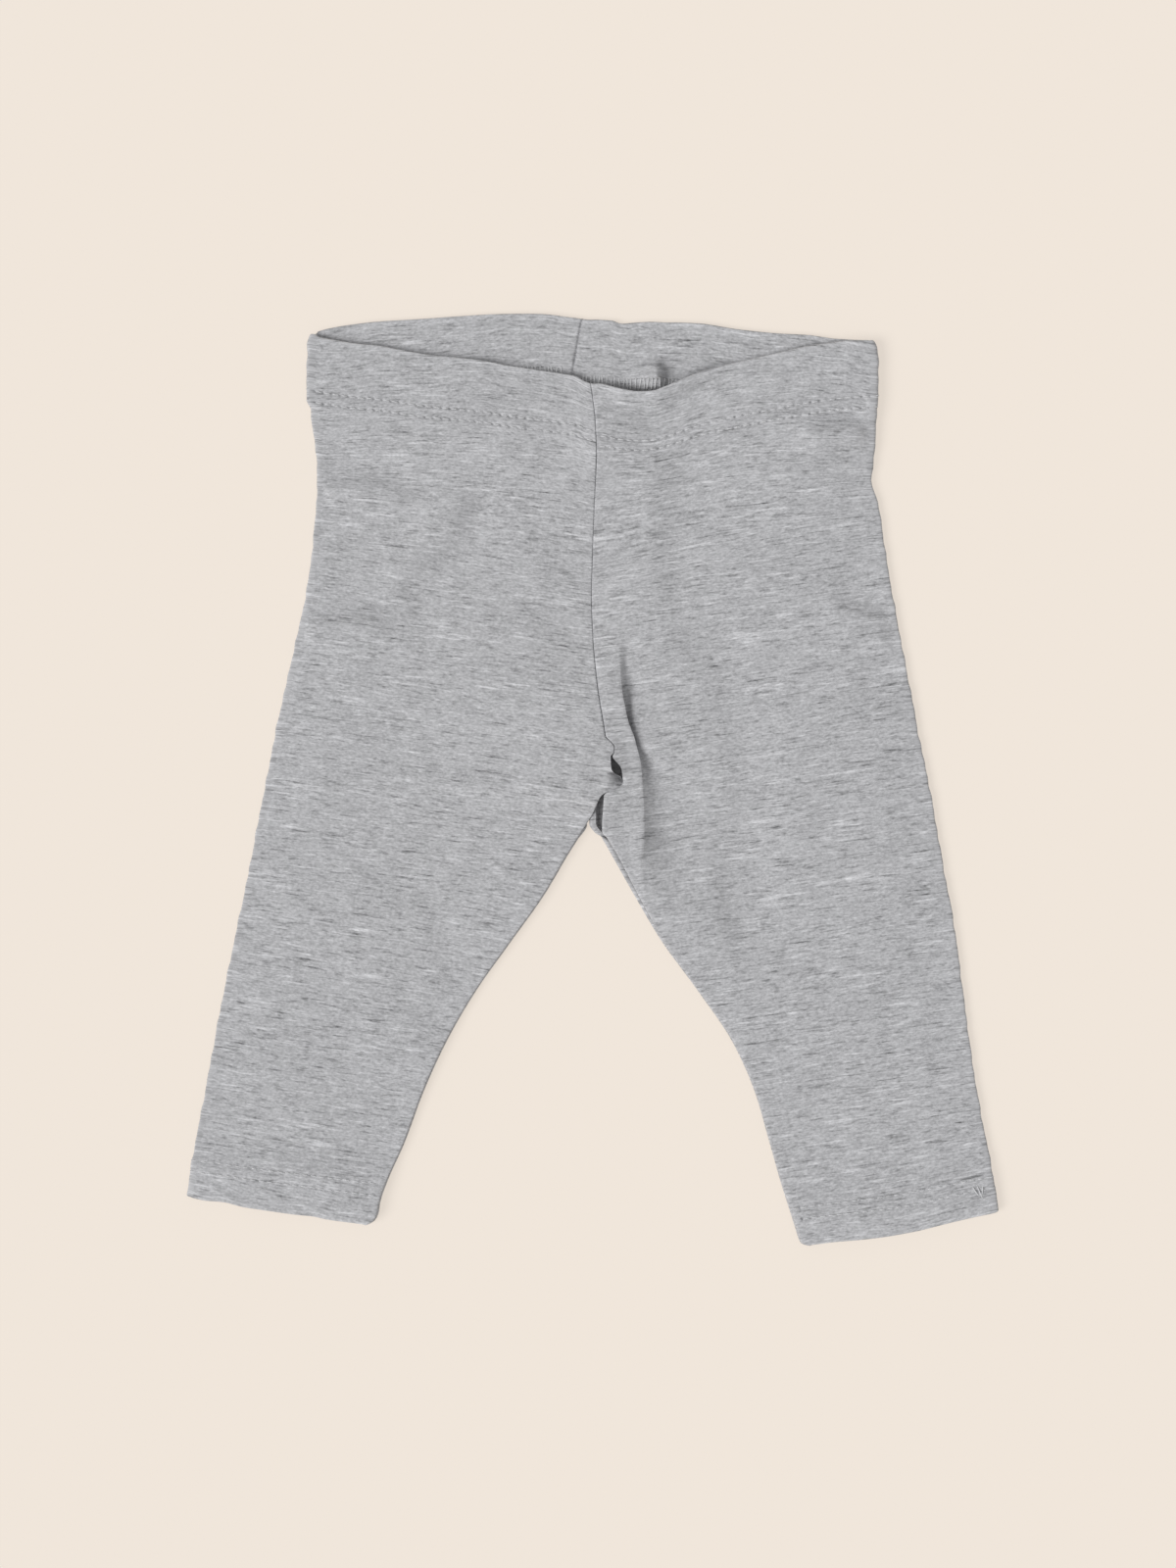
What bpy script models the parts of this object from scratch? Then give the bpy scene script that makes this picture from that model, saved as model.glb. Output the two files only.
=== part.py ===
"""Baby leggings of knitted jersey, lying flat on a surface with the front upwards.

Each leg is one cut piece. It runs from the centre front seam round the outer fold to the
centre back seam, and below the crotch its two edges meet on each other along the inseam.
The hem is turned up inside, so the wall is double there. The waistband is the casing made
by turning the cloth over an elastic, in two halves that the centre seams part.

Frame: X across the garment towards the wearer's left, Y towards the waist, Z up. The origin
is at the middle of the bounding box, on the surface that the back lies on.

All tables and sizes are in millimetres; MM turns them into Blender's metres.
"""

import bpy
import numpy as np

MM = 0.001

# ---------------------------------------------------------------- driving dimensions
CLOTH_WALL = 1.0        # one thickness of jersey
HEM_WALL = 2.0          # hem: the cloth and its turned-up allowance
CASING_WALL = 2.4       # casing: cloth, elastic and turned-in facing
SEAM_GAP = 0.3          # edge to edge at the centre seams
HEM_STEP = 0.8          # length over which the hem's second thickness begins
RIM_DEPTH = 0.9         # rounded last stretch at the hem and at the waist edge
RIM_WALL_SHARE = 0.5    # what is left of the wall at a rounded rim

EDGE_DROP = 0.6         # how far the inseam edge lies below the height of the outer fold
EDGE_ROLL = 4.0         # width over which the front rolls down to the inseam edge
FOLD_RISE = 24.0        # width over which the front rises from the outer fold
FOLD_CALM = 12.0        # width beside the outer fold that the soft folds stay out of
TUCK_DROP = 1.6         # width of the steep side of the tuck beside the crotch

DIP_X = 19.0            # place of the slack dip in the front of the waistband
DIP_WIDTH = 11.5

ROW_STEP = 9.0          # largest distance between two rows of the mesh
LEAST_ROW_STEP = 0.05   # rows closer together than this count as one
CASING_STRIP = 9.0      # width of the narrow columns beside the centre front
SHARP_ANGLE = 50.0      # degrees between two facets that count as an edge
STRIP_SHARES = (0.0, 0.25, 0.55, 0.8, 1.0)   # columns from the inner edge to the tuck
FRONT_COLUMNS = 12      # columns from the tuck to the outer fold
FOLD_COLUMNS = 5        # facets round the outer fold
BACK_COLUMNS = 8        # columns across the back

# ---------------------------------------------------------------- legs
# One row is one section, a line across the cloth. outer: point on the outer fold.
# front: inner edge of the front, the centre front seam and then the inseam. back: inner
# edge of the back, the centre back seam and then the inseam. fold: height of the outer
# fold. loft: height of the front between its edges. curl: 1 where the front edge rolls
# down onto the back. strip: from the front edge to the crest of the tuck. tuck: height
# of its crest over the cloth beside it. dip: depth of the waistband's dip. bow: how far
# the middle of the section stands above a straight line.
LEG_COLUMNS = ("outer_x", "outer_y", "front_x", "front_y", "back_x", "back_y",
               "fold", "loft", "curl", "strip", "tuck", "dip", "bow")

RIGHT_LEG = (
    (-99.0, 131.0, 1.5, 119.5, -7.5, 138.5, 5.3, 5.3, 0.0, 6.0, 0.0, 3.5, 0.0),
    (-98.1, 119.5, 1.2, 107.5, -7.0, 124.0, 4.2, 4.8, 0.0, 6.0, 0.0, 2.2, 0.0),
    (-97.0, 105.5, 0.6, 93.5, -6.0, 108.5, 3.4, 4.3, 0.0, 6.0, 0.0, 0.8, 0.0),
    (-97.8, 92.0, 0.1, 79.5, -5.5, 92.5, 3.1, 4.1, 0.0, 6.0, 0.0, 0.0, 0.0),
    (-99.4, 76.0, -0.3, 65.0, -4.5, 75.0, 3.0, 4.0, 0.0, 6.0, 0.0, 0.0, 0.0),
    (-102.0, 60.5, 0.2, 50.5, -3.0, 57.5, 3.0, 4.0, 0.0, 6.0, 0.0, 0.0, 0.0),
    (-105.5, 45.0, 1.5, 36.0, -2.0, 40.0, 3.0, 4.0, 0.0, 6.0, 0.0, 0.0, 0.0),
    (-108.6, 31.5, 3.4, 23.0, -1.4, 25.0, 3.0, 4.0, 0.0, 6.0, 0.0, 0.0, 0.0),
    (-110.1, 24.5, 5.0, 15.0, -1.2, 16.0, 3.0, 4.0, 0.0, 6.0, 0.0, 0.0, 0.0),
    (-111.1, 19.5, 7.6, 9.8, -1.1, 9.8, 3.0, 3.9, 0.5, 6.0, 0.0, 0.0, 0.0),
    (-112.3, 13.5, 6.8, 3.5, -1.1, 3.5, 3.0, 3.9, 1.0, 6.0, 0.0, 0.0, 0.0),
    (-113.4, 8.0, 5.1, -2.0, -1.1, -2.0, 3.0, 3.9, 1.0, 6.0, 0.0, 0.0, 0.0),
    (-115.0, -0.5, 1.2, -9.5, -1.1, -9.5, 3.0, 3.9, 1.0, 6.0, 0.0, 0.0, 0.0),
    (-116.4, -7.0, -1.6, -15.5, -1.2, -15.5, 3.0, 3.9, 1.0, 6.0, 0.0, 0.0, 0.0),
    (-117.4, -12.5, -5.0, -20.5, -5.0, -20.5, 3.0, 3.9, 1.0, 6.0, 0.0, 0.0, 0.0),
    (-118.6, -18.5, -8.5, -26.0, -8.5, -26.0, 3.0, 3.9, 1.0, 6.0, 0.0, 0.0, 0.0),
    (-121.2, -32.5, -17.1, -40.5, -17.1, -40.5, 3.0, 3.9, 1.0, 6.0, 0.0, 0.0, 0.0),
    (-124.8, -49.5, -29.6, -58.0, -29.6, -58.0, 3.0, 3.9, 1.0, 6.0, 0.0, 0.0, 0.0),
    (-128.4, -67.0, -41.6, -75.0, -41.6, -75.0, 3.0, 3.8, 1.0, 6.0, 0.0, 0.0, 0.0),
    (-131.8, -84.0, -51.7, -92.5, -51.7, -92.5, 3.0, 3.7, 1.0, 6.0, 0.0, 0.0, 0.0),
    (-135.0, -101.5, -59.7, -110.0, -59.7, -110.0, 3.0, 3.6, 1.0, 6.0, 0.0, 0.0, 0.0),
    (-138.2, -118.5, -66.2, -127.5, -66.2, -127.5, 3.6, 4.0, 1.0, 6.0, 0.0, 0.0, 0.0),
    (-141.0, -133.2, -72.3, -142.2, -72.3, -142.2, 5.0, 5.0, 1.0, 6.0, 0.0, 0.0, -0.6),
    (-142.9, -146.6, -76.4, -156.4, -76.4, -156.4, 5.0, 5.0, 1.0, 6.0, 0.0, 0.0, -0.8),
)

LEFT_LEG = (
    (100.2, 131.0, 1.5, 119.5, -7.5, 138.5, 5.3, 5.3, 0.0, 9.0, 0.0, 3.5, 0.0),
    (99.9, 120.5, 1.2, 107.5, -7.0, 124.0, 4.2, 4.8, 0.0, 9.0, 0.0, 2.2, 0.0),
    (98.6, 107.0, 0.6, 93.5, -6.0, 108.5, 3.4, 4.3, 0.0, 9.0, 0.0, 0.8, 0.0),
    (101.0, 96.0, 0.1, 79.5, -5.5, 92.5, 3.1, 4.1, 0.0, 9.0, 0.0, 0.0, 0.0),
    (104.0, 76.0, -0.3, 65.0, -4.5, 75.0, 3.0, 4.0, 0.0, 9.0, 0.0, 0.0, 0.0),
    (106.4, 60.5, 0.2, 50.5, -3.0, 57.5, 3.0, 4.0, 0.0, 9.0, 0.2, 0.0, 0.0),
    (109.3, 45.0, 1.5, 36.0, -2.0, 40.0, 3.0, 4.0, 0.0, 9.0, 0.8, 0.0, 0.0),
    (111.8, 31.5, 3.4, 23.0, -1.4, 25.0, 3.0, 3.8, 0.0, 9.0, 1.6, 0.0, 0.0),
    (113.0, 24.5, 5.0, 15.0, -1.2, 16.0, 3.0, 3.7, 0.0, 10.0, 1.9, 0.0, 0.0),
    (114.0, 19.5, 7.8, 9.8, -1.1, 9.8, 3.0, 3.6, 0.5, 9.3, 2.1, 0.0, 0.0),
    (115.4, 13.5, 10.0, 3.5, -1.1, 3.5, 3.0, 3.6, 1.0, 7.8, 2.2, 0.0, 0.0),
    (116.6, 8.0, 5.5, -2.0, -1.1, -2.0, 3.0, 3.6, 1.0, 12.8, 2.2, 0.0, 0.0),
    (118.2, -0.5, 4.0, -9.5, -1.1, -9.5, 3.0, 3.6, 1.0, 14.0, 2.0, 0.0, 0.0),
    (119.4, -7.0, 4.4, -15.5, -1.2, -15.5, 3.0, 3.6, 1.0, 13.8, 1.6, 0.0, 0.0),
    (120.3, -12.5, 5.6, -20.5, 3.2, -20.5, 3.0, 3.6, 1.0, 12.4, 1.2, 0.0, 0.0),
    (121.4, -18.5, 8.0, -26.0, 6.5, -26.0, 3.0, 3.7, 1.0, 10.8, 0.8, 0.0, 0.0),
    (123.8, -32.5, 15.4, -40.5, 14.7, -40.5, 3.0, 3.8, 1.0, 6.0, 0.0, 0.0, 0.0),
    (127.0, -49.5, 25.1, -58.0, 25.1, -58.0, 3.0, 3.9, 1.0, 6.0, 0.0, 0.0, 0.0),
    (129.4, -67.0, 37.4, -75.0, 37.4, -75.0, 3.0, 3.8, 1.0, 6.0, 0.0, 0.0, 0.0),
    (131.6, -84.0, 49.2, -92.5, 49.2, -92.5, 3.0, 3.7, 1.0, 6.0, 0.0, 0.0, 0.0),
    (134.0, -101.5, 57.0, -110.0, 57.0, -110.0, 3.0, 3.6, 1.0, 6.0, 0.0, 0.0, 0.0),
    (136.9, -118.5, 62.1, -127.5, 62.1, -127.5, 3.4, 3.9, 1.0, 6.0, 0.0, 0.0, 0.0),
    (141.2, -139.0, 68.7, -150.6, 68.7, -150.6, 5.0, 5.0, 1.0, 6.0, 0.0, 0.0, -1.4),
    (143.0, -152.4, 73.8, -164.0, 73.8, -164.0, 5.0, 5.0, 1.0, 6.0, 0.0, 0.0, -2.0),
)

# ---------------------------------------------------------------- waistband casing
# Rows run from the folded top edge down to the seam with the leg. Columns as for a leg;
# front_bow and back_bow: how far the middle of the section stands above a straight line.
CASING_COLUMNS = ("outer_x", "outer_y", "front_x", "front_y", "back_x", "back_y",
                  "fold", "loft", "front_bow", "back_bow", "dip")

RIGHT_CASING = (
    (-99.6, 157.2, -0.7, 140.3, -3.5, 162.4, 5.4, 5.4, 1.2, 3.2, 5.5),
    (-101.0, 153.4, -0.2, 137.4, -4.2, 159.2, 5.4, 5.4, 1.2, 3.0, 5.2),
    (-101.2, 142.0, 1.0, 129.0, -6.0, 148.4, 5.4, 5.4, 0.6, 1.6, 4.4),
    (-100.8, 131.5, 1.5, 119.8, -7.5, 138.8, 5.3, 5.3, 0.0, 0.0, 3.5),
)

LEFT_CASING = (
    (99.2, 155.0, -0.7, 140.3, -3.5, 162.4, 5.4, 5.4, 0.3, 0.4, 5.5),
    (100.5, 151.8, -0.2, 137.4, -4.2, 159.2, 5.4, 5.4, 0.3, 0.4, 5.2),
    (100.8, 142.0, 1.0, 129.0, -6.0, 148.4, 5.4, 5.4, 0.2, 0.2, 4.4),
    (100.7, 131.5, 1.5, 119.8, -7.5, 138.8, 5.3, 5.3, 0.0, 0.0, 3.5),
)

# ---------------------------------------------------------------- soft folds of the front
# One row is one fold along a straight stretch: x and y of its two ends, how far it reaches
# to each side, and its height, negative for a trough.
SOFT_FOLDS = (
    (-41.0, 102.0, -53.0, 73.0, 9.0, -0.9),     # arc below the right hip
    (-53.0, 73.0, -84.0, 56.0, 9.0, -0.9),
    (-66.0, 96.0, -74.0, 84.0, 22.0, 0.8),      # pad inside the arc
    (26.0, 112.0, 26.0, 58.0, 9.0, -0.7),       # upright trough left of centre
    (-15.0, 92.0, -17.0, 52.0, 9.0, -0.5),
    (62.0, 100.0, 66.0, 60.0, 22.0, 0.6),
    (44.0, 34.0, 50.0, -10.0, 10.0, -0.8),      # upright trough of the left thigh
    (50.0, -10.0, 55.0, -66.0, 10.0, -0.6),
    (76.0, 20.0, 84.0, -60.0, 24.0, 0.6),
    (-97.0, -18.0, -76.0, -35.0, 8.0, -0.6),    # slanting trough of the right thigh
    (-66.0, 20.0, -74.0, -50.0, 24.0, 0.6),
    (96.0, 106.0, 84.0, 104.0, 8.0, -0.8),      # pinch at the left hip
    (70.0, 128.5, 92.0, 125.5, 7.0, -0.7),      # crease under the left band
    (8.0, 139.0, 34.0, 138.0, 9.0, 1.2),        # front edge of the band standing off
)

JERSEY_GREY = (0.43, 0.43, 0.44, 1.0)
JERSEY_ROUGHNESS = 0.95


# ---------------------------------------------------------------- reading the tables
def smooth_through(places, values, wanted):
    """Cubic through the table's values that never overshoots between two rows."""
    step = np.diff(places)
    slope = np.diff(values) / step
    tangent = np.empty_like(values)
    tangent[0] = slope[0]
    tangent[-1] = slope[-1]
    product = slope[:-1] * slope[1:]
    total = slope[:-1] + slope[1:]
    harmonic = 2.0 * product / np.where(product > 0.0, total, 1.0)
    tangent[1:-1] = np.where(product > 0.0, harmonic, 0.0)
    index = np.clip(np.searchsorted(places, wanted, side="right") - 1, 0, len(step) - 1)
    width = step[index]
    t = (wanted - places[index]) / width
    low = (1.0 + 2.0 * t) * (1.0 - t) ** 2 * values[index]
    low = low + t * (1.0 - t) ** 2 * width * tangent[index]
    high = t * t * (3.0 - 2.0 * t) * values[index + 1]
    high = high + t * t * (t - 1.0) * width * tangent[index + 1]
    return low + high


def sample_sections(table, names, extra):
    """Sections at the table's rows, between them and at the extra distances below row 0."""
    columns = dict(zip(names, np.array(table, dtype=float).T))
    places = columns["outer_y"][0] - columns["outer_y"]
    wanted = set(extra)
    for start, end in zip(places[:-1], places[1:]):
        count = int(np.ceil((end - start) / ROW_STEP))
        wanted.update(np.linspace(start, end, count + 1))
    wanted = np.array(sorted(wanted))
    wanted = wanted[np.append(np.diff(wanted) > LEAST_ROW_STEP, True)]
    sections = {name: smooth_through(places, columns[name], wanted) for name in names}
    sections["place"] = wanted
    return sections


def ease(t):
    """Smooth step from 0 to 1."""
    t = np.clip(t, 0.0, 1.0)
    return t * t * (3.0 - 2.0 * t)


# ---------------------------------------------------------------- height of the front
def soft_fold_height(x, y):
    """Height of the deepest trough and the highest ridge that reach the point (x, y)."""
    ridge = np.zeros_like(x)
    trough = np.zeros_like(x)
    for x0, y0, x1, y1, reach, height in SOFT_FOLDS:
        run_x = x1 - x0
        run_y = y1 - y0
        share = ((x - x0) * run_x + (y - y0) * run_y) / (run_x ** 2 + run_y ** 2)
        share = np.clip(share, 0.0, 1.0)
        away = np.hypot(x - x0 - share * run_x, y - y0 - share * run_y)
        bump = height * np.cos(np.clip(away / reach, 0.0, 1.0) * np.pi / 2.0) ** 2
        ridge = np.maximum(ridge, bump)
        trough = np.minimum(trough, bump)
    return ridge + trough


def front_height(from_inner, from_outer, x, y, section):
    """Height of the front's outer face at a distance from its inner and outer edges."""
    height = section["fold"] + (section["loft"] - section["fold"]) * ease(from_outer / FOLD_RISE)
    height = height + soft_fold_height(x, y) * ease(from_outer / FOLD_CALM)
    climb = np.sin(np.clip(from_inner / section["strip"], 0.0, 1.0) * np.pi / 2.0)
    drop = np.clip((from_inner - section["strip"]) / TUCK_DROP, 0.0, 1.0)
    height = height + section["tuck"] * climb * (1.0 - drop)
    edge = section["fold"] - EDGE_DROP
    roll = 1.0 - np.sqrt(1.0 - (1.0 - np.clip(from_inner / EDGE_ROLL, 0.0, 1.0)) ** 2)
    return height + (edge - height) * section["curl"] * roll


# ---------------------------------------------------------------- one section as points
def flat_bow(share):
    """1 across the middle of a section, falling to 0 at both of its ends."""
    return 1.0 - np.abs(2.0 * share - 1.0) ** 3


def section_points(section, side):
    """Outer face of one section, from the front's inner edge round to the back's."""
    outer = np.array((section["outer_x"], section["outer_y"]))
    front = np.array((section["front_x"] + side * SEAM_GAP / 2.0, section["front_y"]))
    back = np.array((section["back_x"] + side * SEAM_GAP / 2.0, section["back_y"]))
    radius = section["fold"] / 2.0
    front_length = np.hypot(*(front - outer))
    front_way = (front - outer) / front_length
    back_length = np.hypot(*(back - outer))
    back_way = (back - outer) / back_length

    start = section["strip"] + TUCK_DROP
    spread = np.linspace(start, front_length - radius, FRONT_COLUMNS + 1)
    from_inner = np.concatenate((np.array(STRIP_SHARES) * section["strip"], spread))
    flat = front[None, :] - front_way[None, :] * from_inner[:, None]
    share = from_inner / front_length
    flat[:, 1] += section["front_bow"] * flat_bow(share)
    flat[:, 1] -= section["dip"] * np.exp(-((flat[:, 0] - DIP_X) / DIP_WIDTH) ** 2)
    from_outer = front_length - radius - from_inner
    height = front_height(from_inner, from_outer, flat[:, 0], flat[:, 1], section)
    front_points = np.column_stack((flat, height))

    middle_way = (front_way + back_way) / 2.0
    angle = np.linspace(np.pi / 2.0, -np.pi / 2.0, FOLD_COLUMNS + 1)[1:-1]
    reach = radius * (1.0 - np.cos(angle))
    turn = outer[None, :] + middle_way[None, :] * reach[:, None]
    fold_points = np.column_stack((turn, radius + radius * np.sin(angle)))

    from_outer = np.linspace(radius, back_length, BACK_COLUMNS + 1)
    flat = outer[None, :] + back_way[None, :] * from_outer[:, None]
    flat[:, 1] += section["back_bow"] * flat_bow(from_outer / back_length)
    back_points = np.column_stack((flat, np.zeros(len(flat))))
    return np.concatenate((front_points, fold_points, back_points))


# ---------------------------------------------------------------- closed wall from a grid
def bisecting_direction(points, axis):
    """Mean of the unit steps to the next and from the last point, along one grid axis."""
    step = np.diff(points, axis=axis)
    step = step / np.linalg.norm(step, axis=2, keepdims=True)
    first = np.take(step, [0], axis=axis)
    last = np.take(step, [-1], axis=axis)
    return np.concatenate((first, step), axis=axis) + np.concatenate((step, last), axis=axis)


def grid_normals(points, side):
    """Outward unit normals of the grid, rows down the garment and columns round it."""
    normal = np.cross(bisecting_direction(points, 1), bisecting_direction(points, 0))
    normal = -side * normal / np.linalg.norm(normal, axis=2, keepdims=True)
    return normal


def wall_object(name, points, wall, rim, side):
    """Closed wall of cloth: the outer grid, an inner grid behind it and the four edges.

    wall is the thickness of each row. rim is 1 on a rounded row, where the wall thins
    from both faces, and 0 elsewhere.
    """
    normal = grid_normals(points, side)
    thinned = (wall * (1.0 - RIM_WALL_SHARE) * rim / 2.0)[:, None, None]
    outer = points - normal * thinned
    inner = points - normal * (wall[:, None, None] - thinned)
    rows, columns = points.shape[:2]
    count = rows * columns
    vertices = np.concatenate((outer.reshape(-1, 3), inner.reshape(-1, 3))) * MM

    index = np.arange(count).reshape(rows, columns)
    quads = np.stack((index[:-1, :-1], index[1:, :-1], index[1:, 1:], index[:-1, 1:]), axis=-1)
    quads = quads.reshape(-1, 4)
    faces = [quads, quads[:, ::-1] + count]
    border = np.concatenate((index[:-1, 0], index[-1, :-1], index[:0:-1, -1], index[0, :0:-1]))
    following = np.roll(border, -1)
    faces.append(np.column_stack((following, border, border + count, following + count)))
    faces = np.concatenate(faces)
    if side < 0:
        faces = faces[:, ::-1]

    mesh = bpy.data.meshes.new(name)
    mesh.from_pydata(vertices.tolist(), [], faces.tolist())
    mesh.validate()
    mesh.shade_smooth()
    mesh.set_sharp_from_angle(angle=np.radians(SHARP_ANGLE))
    item = bpy.data.objects.new(name, mesh)
    bpy.context.collection.objects.link(item)
    return item


def jersey(name):
    """Grey melange jersey: matt, without any shine."""
    material = bpy.data.materials.new(name)
    material.use_nodes = True
    shader = material.node_tree.nodes["Principled BSDF"]
    shader.inputs["Base Color"].default_value = JERSEY_GREY
    shader.inputs["Roughness"].default_value = JERSEY_ROUGHNESS
    shader.inputs["Metallic"].default_value = 0.0
    return material


# ---------------------------------------------------------------- the pieces
def sheet_grid(sections, side):
    """All the sections of one piece, stacked as a grid of points."""
    rows = []
    for number in range(len(sections["place"])):
        section = {name: values[number] for name, values in sections.items()}
        rows.append(section_points(section, side))
    return np.array(rows)


def build_leg(name, table, side):
    """One leg with its turned-up hem. side is -1 for the wearer's right, 1 for the left."""
    hem_start = table[0][1] - table[-2][1]
    hem_end = table[0][1] - table[-1][1]
    extra = (hem_start - HEM_STEP, hem_end - RIM_DEPTH)
    sections = sample_sections(table, LEG_COLUMNS, extra)
    place = sections["place"]
    sections["front_bow"] = sections["bow"]
    sections["back_bow"] = sections["bow"]
    in_hem = ease((place - hem_start + HEM_STEP) / HEM_STEP)
    wall = CLOTH_WALL + (HEM_WALL - CLOTH_WALL) * in_hem
    rim = (place >= hem_end - LEAST_ROW_STEP).astype(float)
    leg = wall_object(name, sheet_grid(sections, side), wall, rim, side)
    leg.data.materials.append(jersey("jersey_" + name))
    return leg


def build_casing(name, table, side):
    """One half of the waistband casing, rounded along its folded top edge."""
    sections = sample_sections(table, CASING_COLUMNS, (RIM_DEPTH,))
    place = sections["place"]
    sections["curl"] = np.zeros_like(place)
    sections["tuck"] = np.zeros_like(place)
    sections["strip"] = np.full_like(place, CASING_STRIP)
    wall = np.full_like(place, CASING_WALL)
    rim = (place < LEAST_ROW_STEP).astype(float)
    casing = wall_object(name, sheet_grid(sections, side), wall, rim, side)
    casing.data.materials.append(jersey("jersey_" + name))
    return casing


def main():
    for item in list(bpy.data.objects):
        bpy.data.objects.remove(item, do_unlink=True)
    build_leg("right_leg", RIGHT_LEG, -1)
    build_leg("left_leg", LEFT_LEG, 1)
    build_casing("waistband_right", RIGHT_CASING, -1)
    build_casing("waistband_left", LEFT_CASING, 1)


main()
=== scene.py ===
"""Baby leggings of grey melange jersey, lying flat on a pale surface with the front upwards.

X runs across the garment towards the wearer's left, Y towards the waist and Z up. Tables and
sizes are in millimetres, and MM turns them into Blender's metres.
"""

import bmesh
import bpy
import numpy as np
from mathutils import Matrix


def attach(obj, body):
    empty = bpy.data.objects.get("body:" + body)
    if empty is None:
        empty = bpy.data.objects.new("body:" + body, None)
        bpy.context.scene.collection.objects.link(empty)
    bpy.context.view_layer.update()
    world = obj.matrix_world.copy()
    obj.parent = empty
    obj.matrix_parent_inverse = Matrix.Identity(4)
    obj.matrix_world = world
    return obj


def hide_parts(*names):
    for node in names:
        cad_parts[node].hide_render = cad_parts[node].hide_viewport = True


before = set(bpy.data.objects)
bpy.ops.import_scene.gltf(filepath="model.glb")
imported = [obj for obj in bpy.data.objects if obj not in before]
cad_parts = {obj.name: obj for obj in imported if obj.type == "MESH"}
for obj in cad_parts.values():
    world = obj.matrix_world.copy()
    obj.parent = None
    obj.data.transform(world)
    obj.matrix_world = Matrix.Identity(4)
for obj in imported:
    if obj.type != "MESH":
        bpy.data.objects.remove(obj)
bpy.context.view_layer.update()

MM = 0.001

# ------------------------------------------------------------------ camera
# The garment is seen from straight above through a long lens, so that the sides of the
# frame hardly lean. The frame is 552 mm high where the front of the garment lies.
FRAME_HEIGHT = 552.0
FRAME_CENTRE = (-1.55, -1.38)
FRONT_LEVEL = 4.0
LENS_MM = 100.0
SENSOR_MM = 36.0



def placed(name, data):
    """New object with this data, put in the scene."""
    thing = bpy.data.objects.new(name, data)
    bpy.context.collection.objects.link(thing)
    return thing


camera_data = bpy.data.cameras.new("copy_stand_camera")
camera_data.lens = LENS_MM
camera_data.sensor_width = SENSOR_MM
camera_data.clip_end = 20.0
camera = placed("copy_stand_camera", camera_data)
camera_height = FRONT_LEVEL + FRAME_HEIGHT * LENS_MM / SENSOR_MM
camera.location = (FRAME_CENTRE[0] * MM, FRAME_CENTRE[1] * MM, camera_height * MM)
bpy.context.scene.camera = camera

# ------------------------------------------------------------------ surface and light
# A plain pale cream board that glows a little, so that shadows on it stay faint. One broad
# soft light stands to the left, and the bright room fills the rest.
BOARD_HALF = 9000.0
BOARD_CREAM = (0.26, 0.236, 0.209, 1.0)
BOARD_GLOW = (0.622, 0.564, 0.506, 1.0)
ROOM_STRENGTH = 0.51
LAMP_STRENGTH = 1.97
LAMP_SOFTNESS = 34.0        # degrees that the broad light spans
LAMP_TILT = 44.0            # degrees from straight down
LAMP_SIDE = 203.0           # degrees round from +X that the light comes from


def set_sockets(node, values):
    """Put each value on the node's own input of that name."""
    for socket, value in values.items():
        node.inputs[socket].default_value = value


def plain_material(name, values):
    """New material with these values on its shader."""
    material = bpy.data.materials.new(name)
    material.use_nodes = True
    set_sockets(material.node_tree.nodes["Principled BSDF"], values)
    return material


corners = np.array(((-1, -1, 0), (1, -1, 0), (1, 1, 0), (-1, 1, 0))) * BOARD_HALF * MM
board_mesh = bpy.data.meshes.new("cream_board")
board_mesh.from_pydata(corners.tolist(), [], [(0, 1, 2, 3)])
board = placed("cream_board", board_mesh)
board_mesh.materials.append(plain_material("cream_board", {
    "Base Color": BOARD_CREAM, "Roughness": 0.95, "Specular IOR Level": 0.0,
    "Emission Color": BOARD_GLOW, "Emission Strength": 1.0}))

lamp_data = bpy.data.lights.new("broad_lamp", "SUN")
lamp_data.energy = LAMP_STRENGTH
lamp_data.angle = np.radians(LAMP_SOFTNESS)
lamp = placed("broad_lamp", lamp_data)
lamp.rotation_euler = (0.0, np.radians(LAMP_TILT), np.radians(LAMP_SIDE))

room = bpy.data.worlds.new("bright_room")
room.use_nodes = True
set_sockets(room.node_tree.nodes["Background"],
            {"Color": (1.0, 1.0, 1.0, 1.0), "Strength": ROOM_STRENGTH})
bpy.context.scene.world = room
bpy.context.scene.view_settings.view_transform = "Standard"

# ------------------------------------------------------------------ the two cut pieces
# Each half of the leggings is one piece of single jersey. It runs from the centre front
# seam round the outer fold to the centre back seam, and below the crotch the inseam closes
# it. Its top is turned in over the elastic, and its hem is turned up inside.
JERSEY = 1.0                # one thickness of cloth
CASING = 2.4                # cloth, elastic and turned-in facing
HEM = 2.0                   # cloth and turned-up hem
CASING_DEPTH = 24.6         # from the waist edge down to where the facing ends
HEM_DEPTH = 13.4
LEG_LOFT = 3.9              # height of the front over the surface
LEG_FOLD = 3.0              # height of the outer fold
CASING_LOFT = 5.4
LIP_WIDTH = 9.0             # how far down the gaping of the front's waist edge reaches
HEM_LOFT = 4.9
CASING_FADE = 30.0          # length over which the casing's height comes down to the leg's
CASING_STEP = 2.5           # and the short length over which STEP_SHARE of it does
STEP_SHARE = 0.25
LEG_JOIN = 0.3              # how far the casing's wall reaches past where the facing ends
HEM_FADE = 10.0             # length above the hem over which its height comes in
HEM_SLOPE = 0.9             # how much lower the hem is at the fold
SLIMMER = 0.3               # how much flatter the leg gets below SLIM_FROM, over SLIM_OVER
SLIM_FROM = 190.0
SLIM_OVER = 80.0
FOLD_RISE = 20.0            # width over which the front rises from the fold
FOLD_CALM = 5.0             # width beside the fold over which the creases fade out
FOLD_NOSE = 1.0             # width of the fold's nose in half thicknesses
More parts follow.
